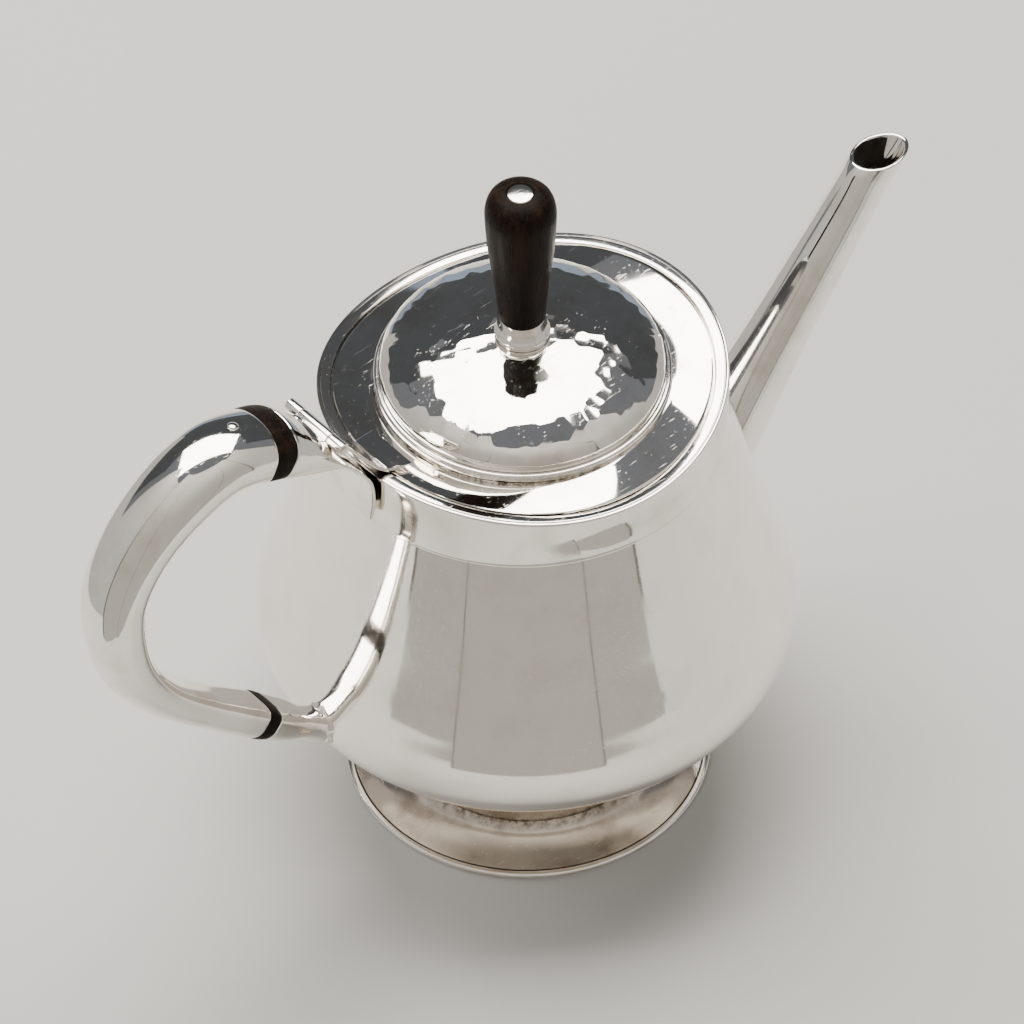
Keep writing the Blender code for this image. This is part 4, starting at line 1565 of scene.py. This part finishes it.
# ---------------------------------------------------------------- hinge
@dataclass
class Hinge:
    """The barrel above the handle's shoulder, and the strap that carries the lid."""

    reach: float = 0.0140
    rise: float = 0.0233
    length: float = 0.0210
    knuckle_radius: float = 0.00175
    pin_radius: float = 0.0008
    lid_length: float = 0.0110
    strap_thickness: float = 0.0010

    @property
    def centre(self) -> Vector:
        """The middle of the hinge's axis."""
        end = RIM.handle_end
        return Vector((-(end[0] + self.reach), 0.0, end[1] + self.rise))

    def knuckles(
        self, bright: bpy.types.Material, length: float, first: float, count: int
    ) -> bpy.types.Mesh:
        """Tubes round the hinge's axis.

        Args:
            bright: the finish.
            length: each tube's length.
            first: the middle of the first tube, along the axis.
            count: how many tubes there are.

        Returns:
            The tubes as one mesh.
        """
        bore = self.pin_radius + 0.00015
        sizes = {
            "Path Radius": (self.knuckle_radius + bore) / 2,
            "Width": self.knuckle_radius - bore,
            "Height": length,
            "Corner": 0.00022,
            "Level": first,
            "Pitch": -2 * first,
            "Count": count,
        }
        place = Matrix.Translation(self.centre) @ Matrix.Rotation(-math.pi / 2, 4, "X")
        return ring_stock(bright).run(carrier_of([Vector()]), sizes, place)

    def pin(self) -> bpy.types.Mesh:
        """The pin with its ends peened over.

        Returns:
            The mesh.
        """
        half = self.length / 2
        side = [
            (0.0, half + 0.0003),
            (self.pin_radius * 0.8, half + 0.0002),
            (self.pin_radius + 0.0001, half),
            (self.pin_radius, half - 0.0003),
        ]
        line = side + [(radius, -height) for radius, height in side[::-1]]
        rings = turned(line, 40)
        turn = Matrix.Translation(self.centre) @ Matrix.Rotation(-math.pi / 2, 4, "X")
        flat = rings.reshape(-1, 3) @ np.array(turn.to_3x3()).T + np.array(turn.translation)
        return skin("hinge_wire", flat.reshape(rings.shape))

    def strap(self) -> bpy.types.Mesh:
        """The strap from the lid's plate, over the rim and up to its knuckle.

        Returns:
            The mesh.
        """
        stations = [
            (-0.0100, -0.0006, 0.0150),
            (-0.0070, 0.0001, 0.0144),
            (-0.0026, 0.0014, 0.0126),
            (0.0014, 0.0057, 0.0112),
            (0.0058, 0.0121, 0.0108),
            (0.0100, 0.0180, 0.0106),
            (0.0130, 0.0222, 0.0104),
        ]
        end = RIM.handle_end
        path = smooth_curve([(-end[0] - x, end[1] + z, w) for x, z, w in stations], 12)
        points = np.array(path)
        run = np.gradient(points[:, :2], axis=0)
        run /= np.linalg.norm(run, axis=1, keepdims=True)
        half = self.strap_thickness / 2
        rings = []
        for (x, z, width), (dx, dz) in zip(path, run):
            ring = []
            low = half - 2 * half * min(1.0, 0.3 + len(rings) / 24)
            corners = [(width / 2, half), (-width / 2, half), (-width / 2, low), (width / 2, low)]
            for side, up in rounded(corners, 0.00035, 3):
                ring.append((x + dz * up, side, z - dx * up))
            rings.append(ring)
        return skin("lid_hinge_strap", np.array(rings))

    def build(self, silver: SilverFinish) -> None:
        """Makes the hinge's pieces.

        Args:
            silver: the finish of every piece.
        """
        bright = silver.material()
        side = (self.length - self.lid_length) / 2 - GAP / 2
        middle = (self.length + self.lid_length) / 4 + GAP / 4
        outer = self.knuckles(bright, side, -middle, 2)
        sides = ("hinge_knuckle_left", "hinge_knuckle_right")
        place_piece("hinge_knuckles_outer", outer, Body.POT, Slot.POLISHED, bright, *sides)
        inner = self.knuckles(bright, self.lid_length, 0.0, 1)
        place_piece("hinge_knuckle_middle", inner, Body.LID, Slot.POLISHED, bright, "lid_knuckle")
        place_piece("hinge_wire", self.pin(), Body.POT, Slot.POLISHED, bright, "hinge_pin")
        place_piece("lid_hinge_strap", self.strap(), Body.LID, Slot.POLISHED, bright, "lid_hinge_leaf")


# ---------------------------------------------------------------- handle
@dataclass
class Handle:
    """The hollow handle: its sockets on the pot, two ebony insulators, the grip and its rivets."""

    body: RaisedBody
    joint_height: float = 0.0555
    upper_disc: float = 0.0060
    lower_disc: float = 0.0044
    upper_tenon: float = 0.0095
    lower_tenon: float = 0.0075
    upper_station: int = 9
    lower_station: int = 18
    pin_head: float = 0.0015
    pin_height: float = 0.0006
    pin_radius: float = 0.0009
    upper_pin: float = 0.0072
    lower_pin: float = 0.0055
    span_samples: int = 24
    sides: int = 96

    def __post_init__(self) -> None:
        """Works out the path's points and their lengths."""
        self.points = np.array(smooth_curve(self.stations(), self.span_samples))
        steps = np.hypot(np.diff(self.points[:, 0]), np.diff(self.points[:, 1]))
        self.lengths = np.concatenate([[0.0], np.cumsum(steps)])

    def stations(self) -> list[tuple]:
        """(x, z, width, depth) from the collar, over the top and down to the belly.

        Returns:
            The stations in order.
        """
        upper = [
            (0.0008, -0.0150, 0.0100, 0.0018),
            (0.0010, -0.0078, 0.0130, 0.0020),
            (0.0022, -0.0002, 0.0146, 0.0020),
            (0.0054, 0.0062, 0.0166, 0.0020),
            (0.0092, 0.0118, 0.0186, 0.0022),
            (0.0132, 0.0166, 0.0206, 0.0032),
            (0.0170, 0.0202, 0.0210, 0.0070),
            (0.0212, 0.0238, 0.0214, 0.0107),
            (0.0262, 0.0274, 0.0218, 0.0136),
            (0.0323, 0.0312, 0.0215, 0.0144),
            (0.0464, 0.0353, 0.0208, 0.0144),
            (0.0604, 0.0311, 0.0198, 0.0143),
            (0.0724, 0.0221, 0.0184, 0.0136),
            (0.0797, 0.0098, 0.0174, 0.0132),
            (0.0808, -0.0032, 0.0168, 0.0131),
        ]
        lower = [
            (0.0618, 0.0635, 0.0156, 0.0123),
            (0.0522, 0.0477, 0.0138, 0.0107),
            (0.0382, 0.0329, 0.0129, 0.0099),
            (0.0210, 0.0171, 0.0133, 0.0102),
            (0.0120, 0.0094, 0.0114, 0.0091),
            (0.0042, 0.0031, 0.0080, 0.0071),
            (-0.0036, -0.0026, 0.0106, 0.0099),
        ]
        end = RIM.handle_end
        joint = self.body.radius_at(self.joint_height)
        path = [(-end[0] - x, end[1] + z, w, d) for x, z, w, d in upper]
        path += [(-joint - x, self.joint_height + z, w, d) for x, z, w, d in lower]
        return path

    def station(self, index: int) -> float:
        """The length along the path at one of its stations."""
        return float(self.lengths[index * self.span_samples])

    def at(self, length: float) -> tuple[Vector, Vector, float, float]:
        """The section at a length along the path.

        Args:
            length: the length along the path.

        Returns:
            The place, outward direction, width and depth there.
        """
        x, z, width, depth = (float(np.interp(length, self.lengths, c)) for c in self.points.T)
        step = 0.0004
        ahead = [np.interp(length + step, self.lengths, c) for c in self.points.T[:2]]
        behind = [np.interp(length - step, self.lengths, c) for c in self.points.T[:2]]
        tangent = Vector((ahead[0] - behind[0], 0.0, ahead[1] - behind[1])).normalized()
        return Vector((x, 0.0, z)), Vector((tangent.z, 0.0, -tangent.x)), width, depth

    def ring(self, length: float, inset: float = 0.0) -> np.ndarray:
        """One section: round outside and flattened inside.

        Args:
            length: the length along the path.
            inset: how much smaller the section is on every side.

        Returns:
            The section's points.
        """
        centre, out, width, depth = self.at(length)
        angles = np.linspace(0.0, 2 * math.pi, self.sides, endpoint=False)
        c, s = np.cos(angles), np.sin(angles)
        power = np.where(s > 0, 1.0, 0.5)
        across = max(width / 2 - inset, 0.0002) * np.sign(c) * np.abs(c) ** power
        rise = max(depth / 2 - inset, 0.0002) * np.sign(s) * np.abs(s) ** power
        points = np.array(centre) + rise[:, None] * np.array(out)
        points[:, 1] += across
        return points

    def tube(self, name: str, start: float, end: float, count: int, open_ends: bool) -> bpy.types.Mesh:
        """A stretch of the handle.

        Args:
            name: the mesh's name.
            start: the length where it starts.
            end: the length where it ends.
            count: how many sections it has.
            open_ends: gives it a wall that shows at its ends, instead of closed ends.

        Returns:
            The mesh.
        """
        ease = 0.0003
        middle = np.linspace(start + ease, end - ease, count)
        places = np.concatenate([[start, start + ease * 0.4], middle, [end - ease * 0.4, end]])
        insets = [ease, ease * 0.25] + [0.0] * count + [ease * 0.25, ease]
        outer = [self.ring(p, i) for p, i in zip(places, insets)]
        if not open_ends:
            return skin(name, np.array(outer))
        inner = [self.ring(p, HANDLE_WALL) for p in np.linspace(end, start, count)]
        return skin(name, np.array(outer + inner), wrap=True)

    def disc(self, name: str, middle: float, thickness: float, tenon: float) -> bpy.types.Mesh:
        """An insulator: a disc with a tenon on each side.

        Args:
            name: the mesh's name.
            middle: the length at its middle.
            thickness: the disc's thickness.
            tenon: each tenon's length.

        Returns:
            The mesh.
        """
        half = thickness / 2 + 0.00012
        inset = HANDLE_WALL + GAP
        side = [(half + tenon, inset + 0.0006), (half + tenon * 0.5, inset), (half, inset)]
        side += [(half, 0.00035), (half - 0.0002, 0.00006), (half * 0.5, -0.00004)]
        rings = [self.ring(middle - reach, i) for reach, i in side]
        rings += [self.ring(middle, -0.00005)]
        rings += [self.ring(middle + reach, i) for reach, i in side[::-1]]
        return skin(name, np.array(rings))

    def rivets(self, bright: bpy.types.Material, upper: float, lower: float) -> bpy.types.Mesh:
        """The four rivets that pin the silver to the tenons.

        Args:
            bright: the rivets' finish.
            upper: the length at the upper insulator's middle.
            lower: the length at the lower insulator's middle.

        Returns:
            The rivets as one mesh.
        """
        high = self.upper_disc / 2 + GAP + self.upper_pin
        low = self.lower_disc / 2 + GAP + self.lower_pin
        points, facing = [], []
        for length in (upper - high, upper + high, lower - low, lower + low):
            centre, out, _, depth = self.at(length)
            points.append(centre + out * (depth / 2 - 0.00005))
            facing.append(out)
        sizes = {
            "Head Radius": self.pin_head,
            "Head Height": self.pin_height + 0.0001,
            "Stem Radius": self.pin_radius,
            "Stem Length": 0.0050,
        }
        return rivet_setting(bright).run(carrier_of(points, facing), sizes)

    def seam(self) -> bpy.types.Mesh:
        """The solder fillet round the foot of the lower socket.

        Returns:
            The mesh.
        """
        rings = []
        centre, _, width, depth = self.at(self.lengths[-1] - 0.0046)
        for height, grow in ((-0.0006, 0.0011), (0.0002, 0.0010), (0.0007, 0.0006), (0.0012, 0.0002)):
            angles = np.linspace(0.0, 2 * math.pi, 64, endpoint=False)
            wobble = 1 + 0.04 * np.sin(5 * angles + 0.7) + 0.03 * np.sin(9 * angles)
            y = (width / 2 + grow) * np.cos(angles) * wobble
            z = centre.z + (depth / 2 * 1.15 + grow) * np.sin(angles) * wobble
            reach = np.array([self.body.radius_at(float(h)) for h in z])
            x = -np.sqrt(np.maximum(reach**2 - y**2, 0.0)) - height
            rings.append(np.stack([x, y, z], axis=1))
        return skin("handle_solder_seam", np.array(rings))

    def build(self, silver: SilverFinish, ebony: EbonyFinish) -> None:
        """Makes the handle's pieces.

        Args:
            silver: the finish of the metal pieces.
            ebony: the finish of the insulators.
        """
        bright = silver.material()
        wood = ebony.material()
        upper, lower = self.station(self.upper_station), self.station(self.lower_station)
        high = self.upper_disc / 2 + 0.0001
        low = self.lower_disc / 2 + 0.0001
        socket = self.tube("handle_socket_upper", 0.0, upper - high, 120, False)
        grip = self.tube("handle_grip_hollow", upper + high, lower - low, 260, True)
        foot = self.tube("handle_socket_lower", lower + low, self.lengths[-1], 70, False)
        top = self.disc("handle_disc_upper", upper, self.upper_disc, self.upper_tenon)
        base = self.disc("handle_disc_lower", lower, self.lower_disc, self.lower_tenon)
        pot, bare = Body.POT, Slot.POLISHED
        place_piece("handle_socket_upper", socket, pot, bare, bright, "upper_handle_socket")
        place_piece("handle_grip_hollow", grip, pot, bare, bright, "handle_grip")
        place_piece("handle_socket_lower", foot, pot, bare, bright, "lower_handle_socket")
        place_piece("handle_disc_upper", top, pot, Slot.EBONY, wood, "upper_insulator")
        place_piece("handle_disc_lower", base, pot, Slot.EBONY, wood, "lower_insulator")
        pins = ("upper_socket_pin", "upper_grip_pin", "lower_grip_pin", "lower_socket_pin")
        place_piece("handle_rivets", self.rivets(bright, upper, lower), pot, bare, bright, *pins)
        place_piece("handle_solder_seam", self.seam(), pot, bare, bright)


# ---------------------------------------------------------------- spout
@dataclass
class Spout:
    """The straight tapered spout with its levelled pouring mouth."""

    body: RaisedBody
    root_height: float = 0.0710
    angle: float = math.radians(50.9)
    mouth_height: float = 0.1360
    root_radius: float = 0.0104
    middle_radius: float = 0.0084
    tip_radius: float = 0.0061
    lip: float = 0.0010
    wall: float = 0.0009
    hole_radius: float = 0.0014
    pitch: float = 0.0046
    sides: int = 120

    @property
    def root(self) -> Vector:
        """Where the spout's axis meets the body."""
        return Vector((self.body.radius_at(self.root_height), 0.0, self.root_height))

    @property
    def axis(self) -> Vector:
        """The direction that the spout points in."""
        return Vector((math.cos(self.angle), 0.0, math.sin(self.angle)))

    def sections(self, inset: float) -> np.ndarray:
        """The spout's rings from inside the body to its mouth.

        Args:
            inset: how much smaller they are than the outside.

        Returns:
            The rings of points.
        """
        length = (self.mouth_height - self.root_height) / math.sin(self.angle)
        square = Vector((math.sin(self.angle), 0.0, -math.cos(self.angle)))
        level = Vector((1.0, 0.0, -0.05)).normalized()
        mouth_half = self.tip_radius / math.sin(self.angle)
        stations = [
            (0.0008, self.root_radius, 0.0),
            (length * 0.30, self.middle_radius, 0.0),
            (length * 0.62, (self.middle_radius + self.tip_radius) / 2, 0.0),
            (length * 0.86, self.tip_radius * 1.05, 0.12),
            (length, self.tip_radius, 1.0),
        ]
        angles = np.linspace(0.0, 2 * math.pi, self.sides, endpoint=False)
        rings = []
        for along, radius, levelled in smooth_curve(stations, 20):
            run = square.lerp(level, levelled).normalized()
            reach = radius + levelled * (mouth_half - self.tip_radius) - inset
            out = reach * np.cos(angles)
            out += np.where(out > 0, self.lip * levelled**2 * np.cos(angles) ** 3, 0.0)
            centre = self.root + self.axis * along
            ring = np.array(centre) + out[:, None] * np.array(run)
            ring[:, 1] += (radius - inset) * np.sin(angles)
            rings.append(ring)
        return np.array(rings)

    def seated(self, rings: np.ndarray, sink: float) -> np.ndarray:
        """Puts a ring where the spout's wall meets the belly in front of the others.

        Args:
            rings: the spout's rings.
            sink: how far the new ring lies under the belly's surface.

        Returns:
            The rings with the seated one first.
        """
        seat = rings[0].copy()
        back = -np.array(self.axis)
        for i, point in enumerate(seat):
            for _ in range(400):
                outside = math.hypot(point[0], point[1]) - self.body.radius_at(float(point[2]))
                if outside < -sink:
                    break
                point = point + back * 0.0001
            for _ in range(400):
                if math.hypot(point[0], point[1]) - self.body.radius_at(float(point[2])) > -sink:
                    break
                point = point - back * 0.0001
            seat[i] = point
        shares = (0.0, 0.35, 0.7)
        first = [seat * (1 - t) + rings[2] * t for t in shares]
        return np.concatenate([np.array(first), rings[3:]])

    def tube(self) -> bpy.types.Mesh:
        """The spout's wall, open at both ends.

        Returns:
            The mesh.
        """
        outer = self.seated(self.sections(0.0), 0.0004)
        inner = self.seated(self.sections(self.wall), 0.0004)
        edge = (outer[-1] + inner[-1]) / 2
        edge[:, 2] += 0.00025
        rings = np.concatenate([outer[:-1], outer[-1:], edge[None], inner[::-1]])
        return skin("spout_tapered", rings, wrap=True, sharp=60.0)

    def seam(self) -> bpy.types.Mesh:
        """The solder fillet where the spout meets the belly.

        Returns:
            The mesh.
        """
        outer = self.seated(self.sections(0.0), 0.0001)
        foot, above = outer[0], outer[1]
        centre = foot.mean(axis=0)
        angles = np.linspace(0.0, 2 * math.pi, self.sides, endpoint=False)
        uneven = 1 + 0.10 * np.sin(7 * angles) + 0.08 * np.sin(11 * angles + 1.0)
        rings = []
        fillet = ((-0.0004, 0.0), (0.0009, -0.0001), (0.0006, 0.0004), (0.0001, 0.0011), (-0.0004, 0.0012))
        for out, up in fillet:
            way = foot - centre
            way /= np.linalg.norm(way, axis=1, keepdims=True)
            rise = above - foot
            rise /= np.linalg.norm(rise, axis=1, keepdims=True)
            rings.append(foot + way * (out * uneven)[:, None] + rise * up)
        return skin("spout_solder_seam", np.array(rings), wrap=True)

    def punches(self) -> bpy.types.Mesh:
        """The cutters of the strainer, in the row's frame.

        Returns:
            The cutters as one mesh.
        """
        turn = Vector((0.0, 0.0, 1.0)).rotation_difference(self.axis).to_matrix().to_4x4()
        place = Matrix.Translation(self.root) @ turn
        sizes = {"Pitch": self.pitch, "Hole Radius": self.hole_radius, "Depth": 0.024}
        return strainer_punch().run(carrier_of([Vector()]), sizes, place)

    def build(self, silver: SilverFinish) -> None:
        """Makes the spout and its solder seam.

        Args:
            silver: the finish of both.
        """
        bright = silver.material()
        place_piece("spout_tapered", self.tube(), Body.POT, Slot.POLISHED, bright, "spout")
        place_piece("spout_solder_seam", self.seam(), Body.POT, Slot.POLISHED, bright)


# ---------------------------------------------------------------- studio
@dataclass
class Studio:
    """The pale table, the lights, the cards that the silver mirrors, and the camera."""

    azimuth: float = math.radians(-39.65)
    elevation: float = math.radians(46.5)
    distance: float = 7.184
    lens: float = 1000.0
    aim_right: float = -0.00323
    aim_up: float = 0.05893
    roll: float = math.radians(0.86)
    table_half: float = 14.0

    @property
    def back(self) -> Vector:
        """The direction from the pot to the camera.

        Returns:
            A unit vector.
        """
        flat = math.cos(self.elevation)
        return Vector(
            (math.sin(self.azimuth) * flat, -math.cos(self.azimuth) * flat, math.sin(self.elevation))
        )

    @property
    def right(self) -> Vector:
        """The direction to the right of the camera's view."""
        return Vector((math.cos(self.azimuth), math.sin(self.azimuth), 0.0))

    def camera(self) -> None:
        """Makes the long-lens camera and sets it as the scene's own."""
        data = bpy.data.cameras.new("studio_camera")
        data.lens = self.lens
        data.sensor_width = 36.0
        data.clip_end = 60.0
        obj = bpy.data.objects.new("studio_camera", data)
        bpy.context.scene.collection.objects.link(obj)
        up = self.back.cross(self.right)
        target = Vector((AXIS_X, 0.0, 0.0)) + self.right * self.aim_right + up * self.aim_up
        turn = Matrix((self.right, up, self.back)).transposed()
        turn = turn @ Matrix.Rotation(-self.roll, 3, "Z")
        obj.matrix_world = Matrix.Translation(target + self.back * self.distance) @ turn.to_4x4()
        bpy.context.scene.camera = obj

    def floor(self) -> None:
        """The table top of pale paper."""
        mesh = bpy.data.meshes.new("table_paper")
        half = self.table_half
        corners = [(-half, -half, 0), (half, -half, 0), (half, half, 0), (-half, half, 0)]
        mesh.from_pydata(corners, [], [(0, 1, 2, 3)])
        mesh.materials.append(PaperFinish("table_paper", (0.50, 0.489, 0.462)).material())
        obj = bpy.data.objects.new("table_paper", mesh)
        bpy.context.scene.collection.objects.link(obj)

    def bearing(self, degrees: float) -> Vector:
        """A level direction at an angle from the camera's side, turning to the view's right."""
        turned_by = self.azimuth + math.radians(degrees)
        return Vector((math.sin(turned_by), -math.cos(turned_by), 0.0))

    def arc_card(
        self,
        name: str,
        radius: float,
        start: float,
        end: float,
        low: float,
        high: float,
        glow: GlowFinish,
        lean: float = 1.0,
    ) -> bpy.types.Object:
        """An upright curved card that only the silver sees.

        Args:
            name: the card's name.
            radius: its distance from the pot's axis at its foot.
            start: its first bearing from the camera's side, in degrees.
            end: its last bearing.
            low: its lower edge's height.
            high: its upper edge's height.
            glow: its finish.
            lean: its distance at the top as a share of that at the foot.

        Returns:
            The card.
        """
        count = max(int(abs(end - start) / 4), 2)
        points, faces = [], []
        for i in range(count + 1):
            way = self.bearing(start + (end - start) * i / count)
            base = Vector((AXIS_X, 0.0, 0.0))
            points.append(tuple(base + way * radius + Vector((0, 0, low))))
            points.append(tuple(base + way * radius * lean + Vector((0, 0, high))))
        for i in range(count):
            faces.append((2 * i, 2 * i + 2, 2 * i + 3, 2 * i + 1))
        mesh = bpy.data.meshes.new(name)
        mesh.from_pydata(points, [], faces)
        mesh.materials.append(glow.material())
        obj = bpy.data.objects.new(name, mesh)
        bpy.context.scene.collection.objects.link(obj)
        obj.visible_camera = False
        obj.visible_diffuse = False
        obj.visible_shadow = False
        return obj

    def cards(self) -> None:
        """The lit walls round the table, as the silver sees them."""
        beige = GlowFinish("beige_wall", (0.80, 0.745, 0.67), 0.62)
        white = GlowFinish("white_wall", (0.97, 0.925, 0.87), 0.60)
        dark = GlowFinish("dark_wall", (0.31, 0.33, 0.36), 0.22)
        blue = GlowFinish("window_wall", (0.55, 0.68, 0.88), 0.60)
        seam = GlowFinish("wall_seam", (0.50, 0.44, 0.37), 0.30)
        self.arc_card("card_front_middle", 0.245, -25.0, 25.0, 0.0, 0.74, beige)
        for name, side in (("left", -1.0), ("right", 1.0)):
            self.arc_card(f"card_front_{name}", 0.245, side * 25.5, side * 49.0, 0.012, 0.74, beige)
            self.arc_card(f"card_seam_{name}", 0.247, side * 24.8, side * 25.7, 0.0, 0.74, seam)
            self.arc_card(f"card_edge_{name}", 0.248, side * 48.8, side * 50.4, 0.02, 0.74, seam)
            self.arc_card(f"card_{name}", 0.42, side * 49.5, side * 98.0, 0.0, 0.98, white)
            self.arc_card(f"card_low_{name}", 0.42, side * 98.0, side * 142.0, 0.0, 0.24, white)
        self.arc_card("card_back", 2.4, 120.0, 240.0, 0.30, 2.4, dark)
        self.arc_card("card_window", 2.5, 120.0, 240.0, 0.0, 0.30, blue)

    def area(
        self, name: str, place: Vector, aim: Vector, size: tuple[float, float], power: float, tint: tuple
    ) -> bpy.types.Object:
        """A soft rectangular light.

        Args:
            name: the light's name.
            place: where it hangs.
            aim: the point that it faces.
            size: its width and height.
            power: its power in watts.
            tint: its colour.

        Returns:
            The light.
        """
        data = bpy.data.lights.new(name, "AREA")
        data.shape = "RECTANGLE"
        data.size, data.size_y = size
        data.energy = power
        data.color = tint
        obj = bpy.data.objects.new(name, data)
        bpy.context.scene.collection.objects.link(obj)
        turn = (place - aim).to_track_quat("Z", "Y").to_matrix().to_4x4()
        obj.matrix_world = Matrix.Translation(place) @ turn
        obj.visible_camera = False
        return obj

    def lights(self) -> None:
        """The overhead softbox and a gentle fill."""
        away = -self.bearing(0.0)
        aim = Vector((AXIS_X, 0.0, 0.08))
        high = Vector((AXIS_X, 0.0, 1.25)) + away * 0.40 - self.right * 0.05
        self.area("softbox_above", high, aim, (1.25, 0.90), 43.0, (1.0, 0.97, 0.925))
        left = Vector((AXIS_X, 0.0, 0.9)) - self.right * 1.6 + away * 0.9
        key = self.area("window_left", left, aim, (1.2, 1.0), 28.0, (1.0, 0.985, 0.965))
        key.visible_glossy = False
        front = Vector((AXIS_X, 0.0, 0.8)) - away * 1.5 - self.right * 0.3
        fill = self.area("front_fill", front, aim, (1.4, 0.9), 13.0, (1.0, 0.97, 0.93))
        fill.visible_glossy = False

    def world(self) -> None:
        """A dim room for the silver and a pale one behind the table."""
        world = bpy.data.worlds.new("studio_room")
        world.use_nodes = True
        tree = world.node_tree
        background = tree.nodes["Background"]
        background.inputs["Color"].default_value = (0.20, 0.21, 0.23, 1.0)
        background.inputs["Strength"].default_value = 0.9
        pale = tree.nodes.new("ShaderNodeBackground")
        pale.inputs["Color"].default_value = (0.86, 0.85, 0.82, 1.0)
        pale.inputs["Strength"].default_value = 1.0
        path = tree.nodes.new("ShaderNodeLightPath")
        mix = tree.nodes.new("ShaderNodeMixShader")
        tree.links.new(path.outputs["Is Camera Ray"], mix.inputs["Fac"])
        tree.links.new(background.outputs["Background"], mix.inputs[1])
        tree.links.new(pale.outputs["Background"], mix.inputs[2])
        tree.links.new(mix.outputs["Shader"], tree.nodes["World Output"].inputs["Surface"])
        bpy.context.scene.world = world

    def build(self) -> None:
        """Sets the whole studio up."""
        self.camera()
        self.floor()
        self.cards()
        self.lights()
        self.world()


def main() -> None:
    """Builds the studio and every piece of the pot."""
    logging.basicConfig(level=logging.INFO, format="%(name)s: %(message)s")
    Studio().build()
    polished = SilverFinish("silver_polished")
    plate = SilverFinish("silver_plate", gloss=0.035, haze=0.075, scratch=0.000003, ripple=0.000006)
    raised = SilverFinish("silver_raised", dull=(0.87, 0.83, 0.77), gloss=0.055, haze=0.11, ripple=0.00001)
    dome = SilverFinish("silver_dome", gloss=0.03, haze=0.06, ripple=0.000004)
    # The foot's silver is rougher from wear. Its colour is darkened with painted shade that stands for the
    # shaded belly underside mirrored in the flare. It has more painted shade in the crease at the foot of the
    # neck.
    worn_and_shaded = SilverFinish(
        "silver_worn_and_shaded",
        bright=(0.70, 0.63, 0.55),
        dull=(0.42, 0.36, 0.30),
        gloss=0.12,
        haze=0.24,
        crease_shade=0.9,
        crease_shade_height=0.0072,
        crease_shade_spread=0.0032,
    )
    # The bead's silver has painted shade in the crease where the bead sits on the lid's plate.
    beaded = SilverFinish(
        "silver_beaded", gloss=0.08, haze=0.16, crease_shade=0.95, crease_shade_height=0.1353, crease_shade_spread=0.0020
    )
    handle_silver = SilverFinish("silver_handle", gloss=0.045, haze=0.08, ripple=0.000008)
    ebony = EbonyFinish("ebony_knob")
    cross_ebony = EbonyFinish("ebony_discs", turn=(0.0, math.radians(70.0), 0.0))
    Foot().build(worn_and_shaded, polished)
    body = RaisedBody()
    spout = Spout(body)
    body.build(raised, polished, spout.punches())
    spout.build(polished)
    lid = Lid()
    lid.build(dome, plate, beaded)
    Knob(lid.dome_top).build(polished, ebony)
    Hinge().build(polished)
    Handle(body).build(handle_silver, cross_ebony)


if __name__ == "__main__":
    main()
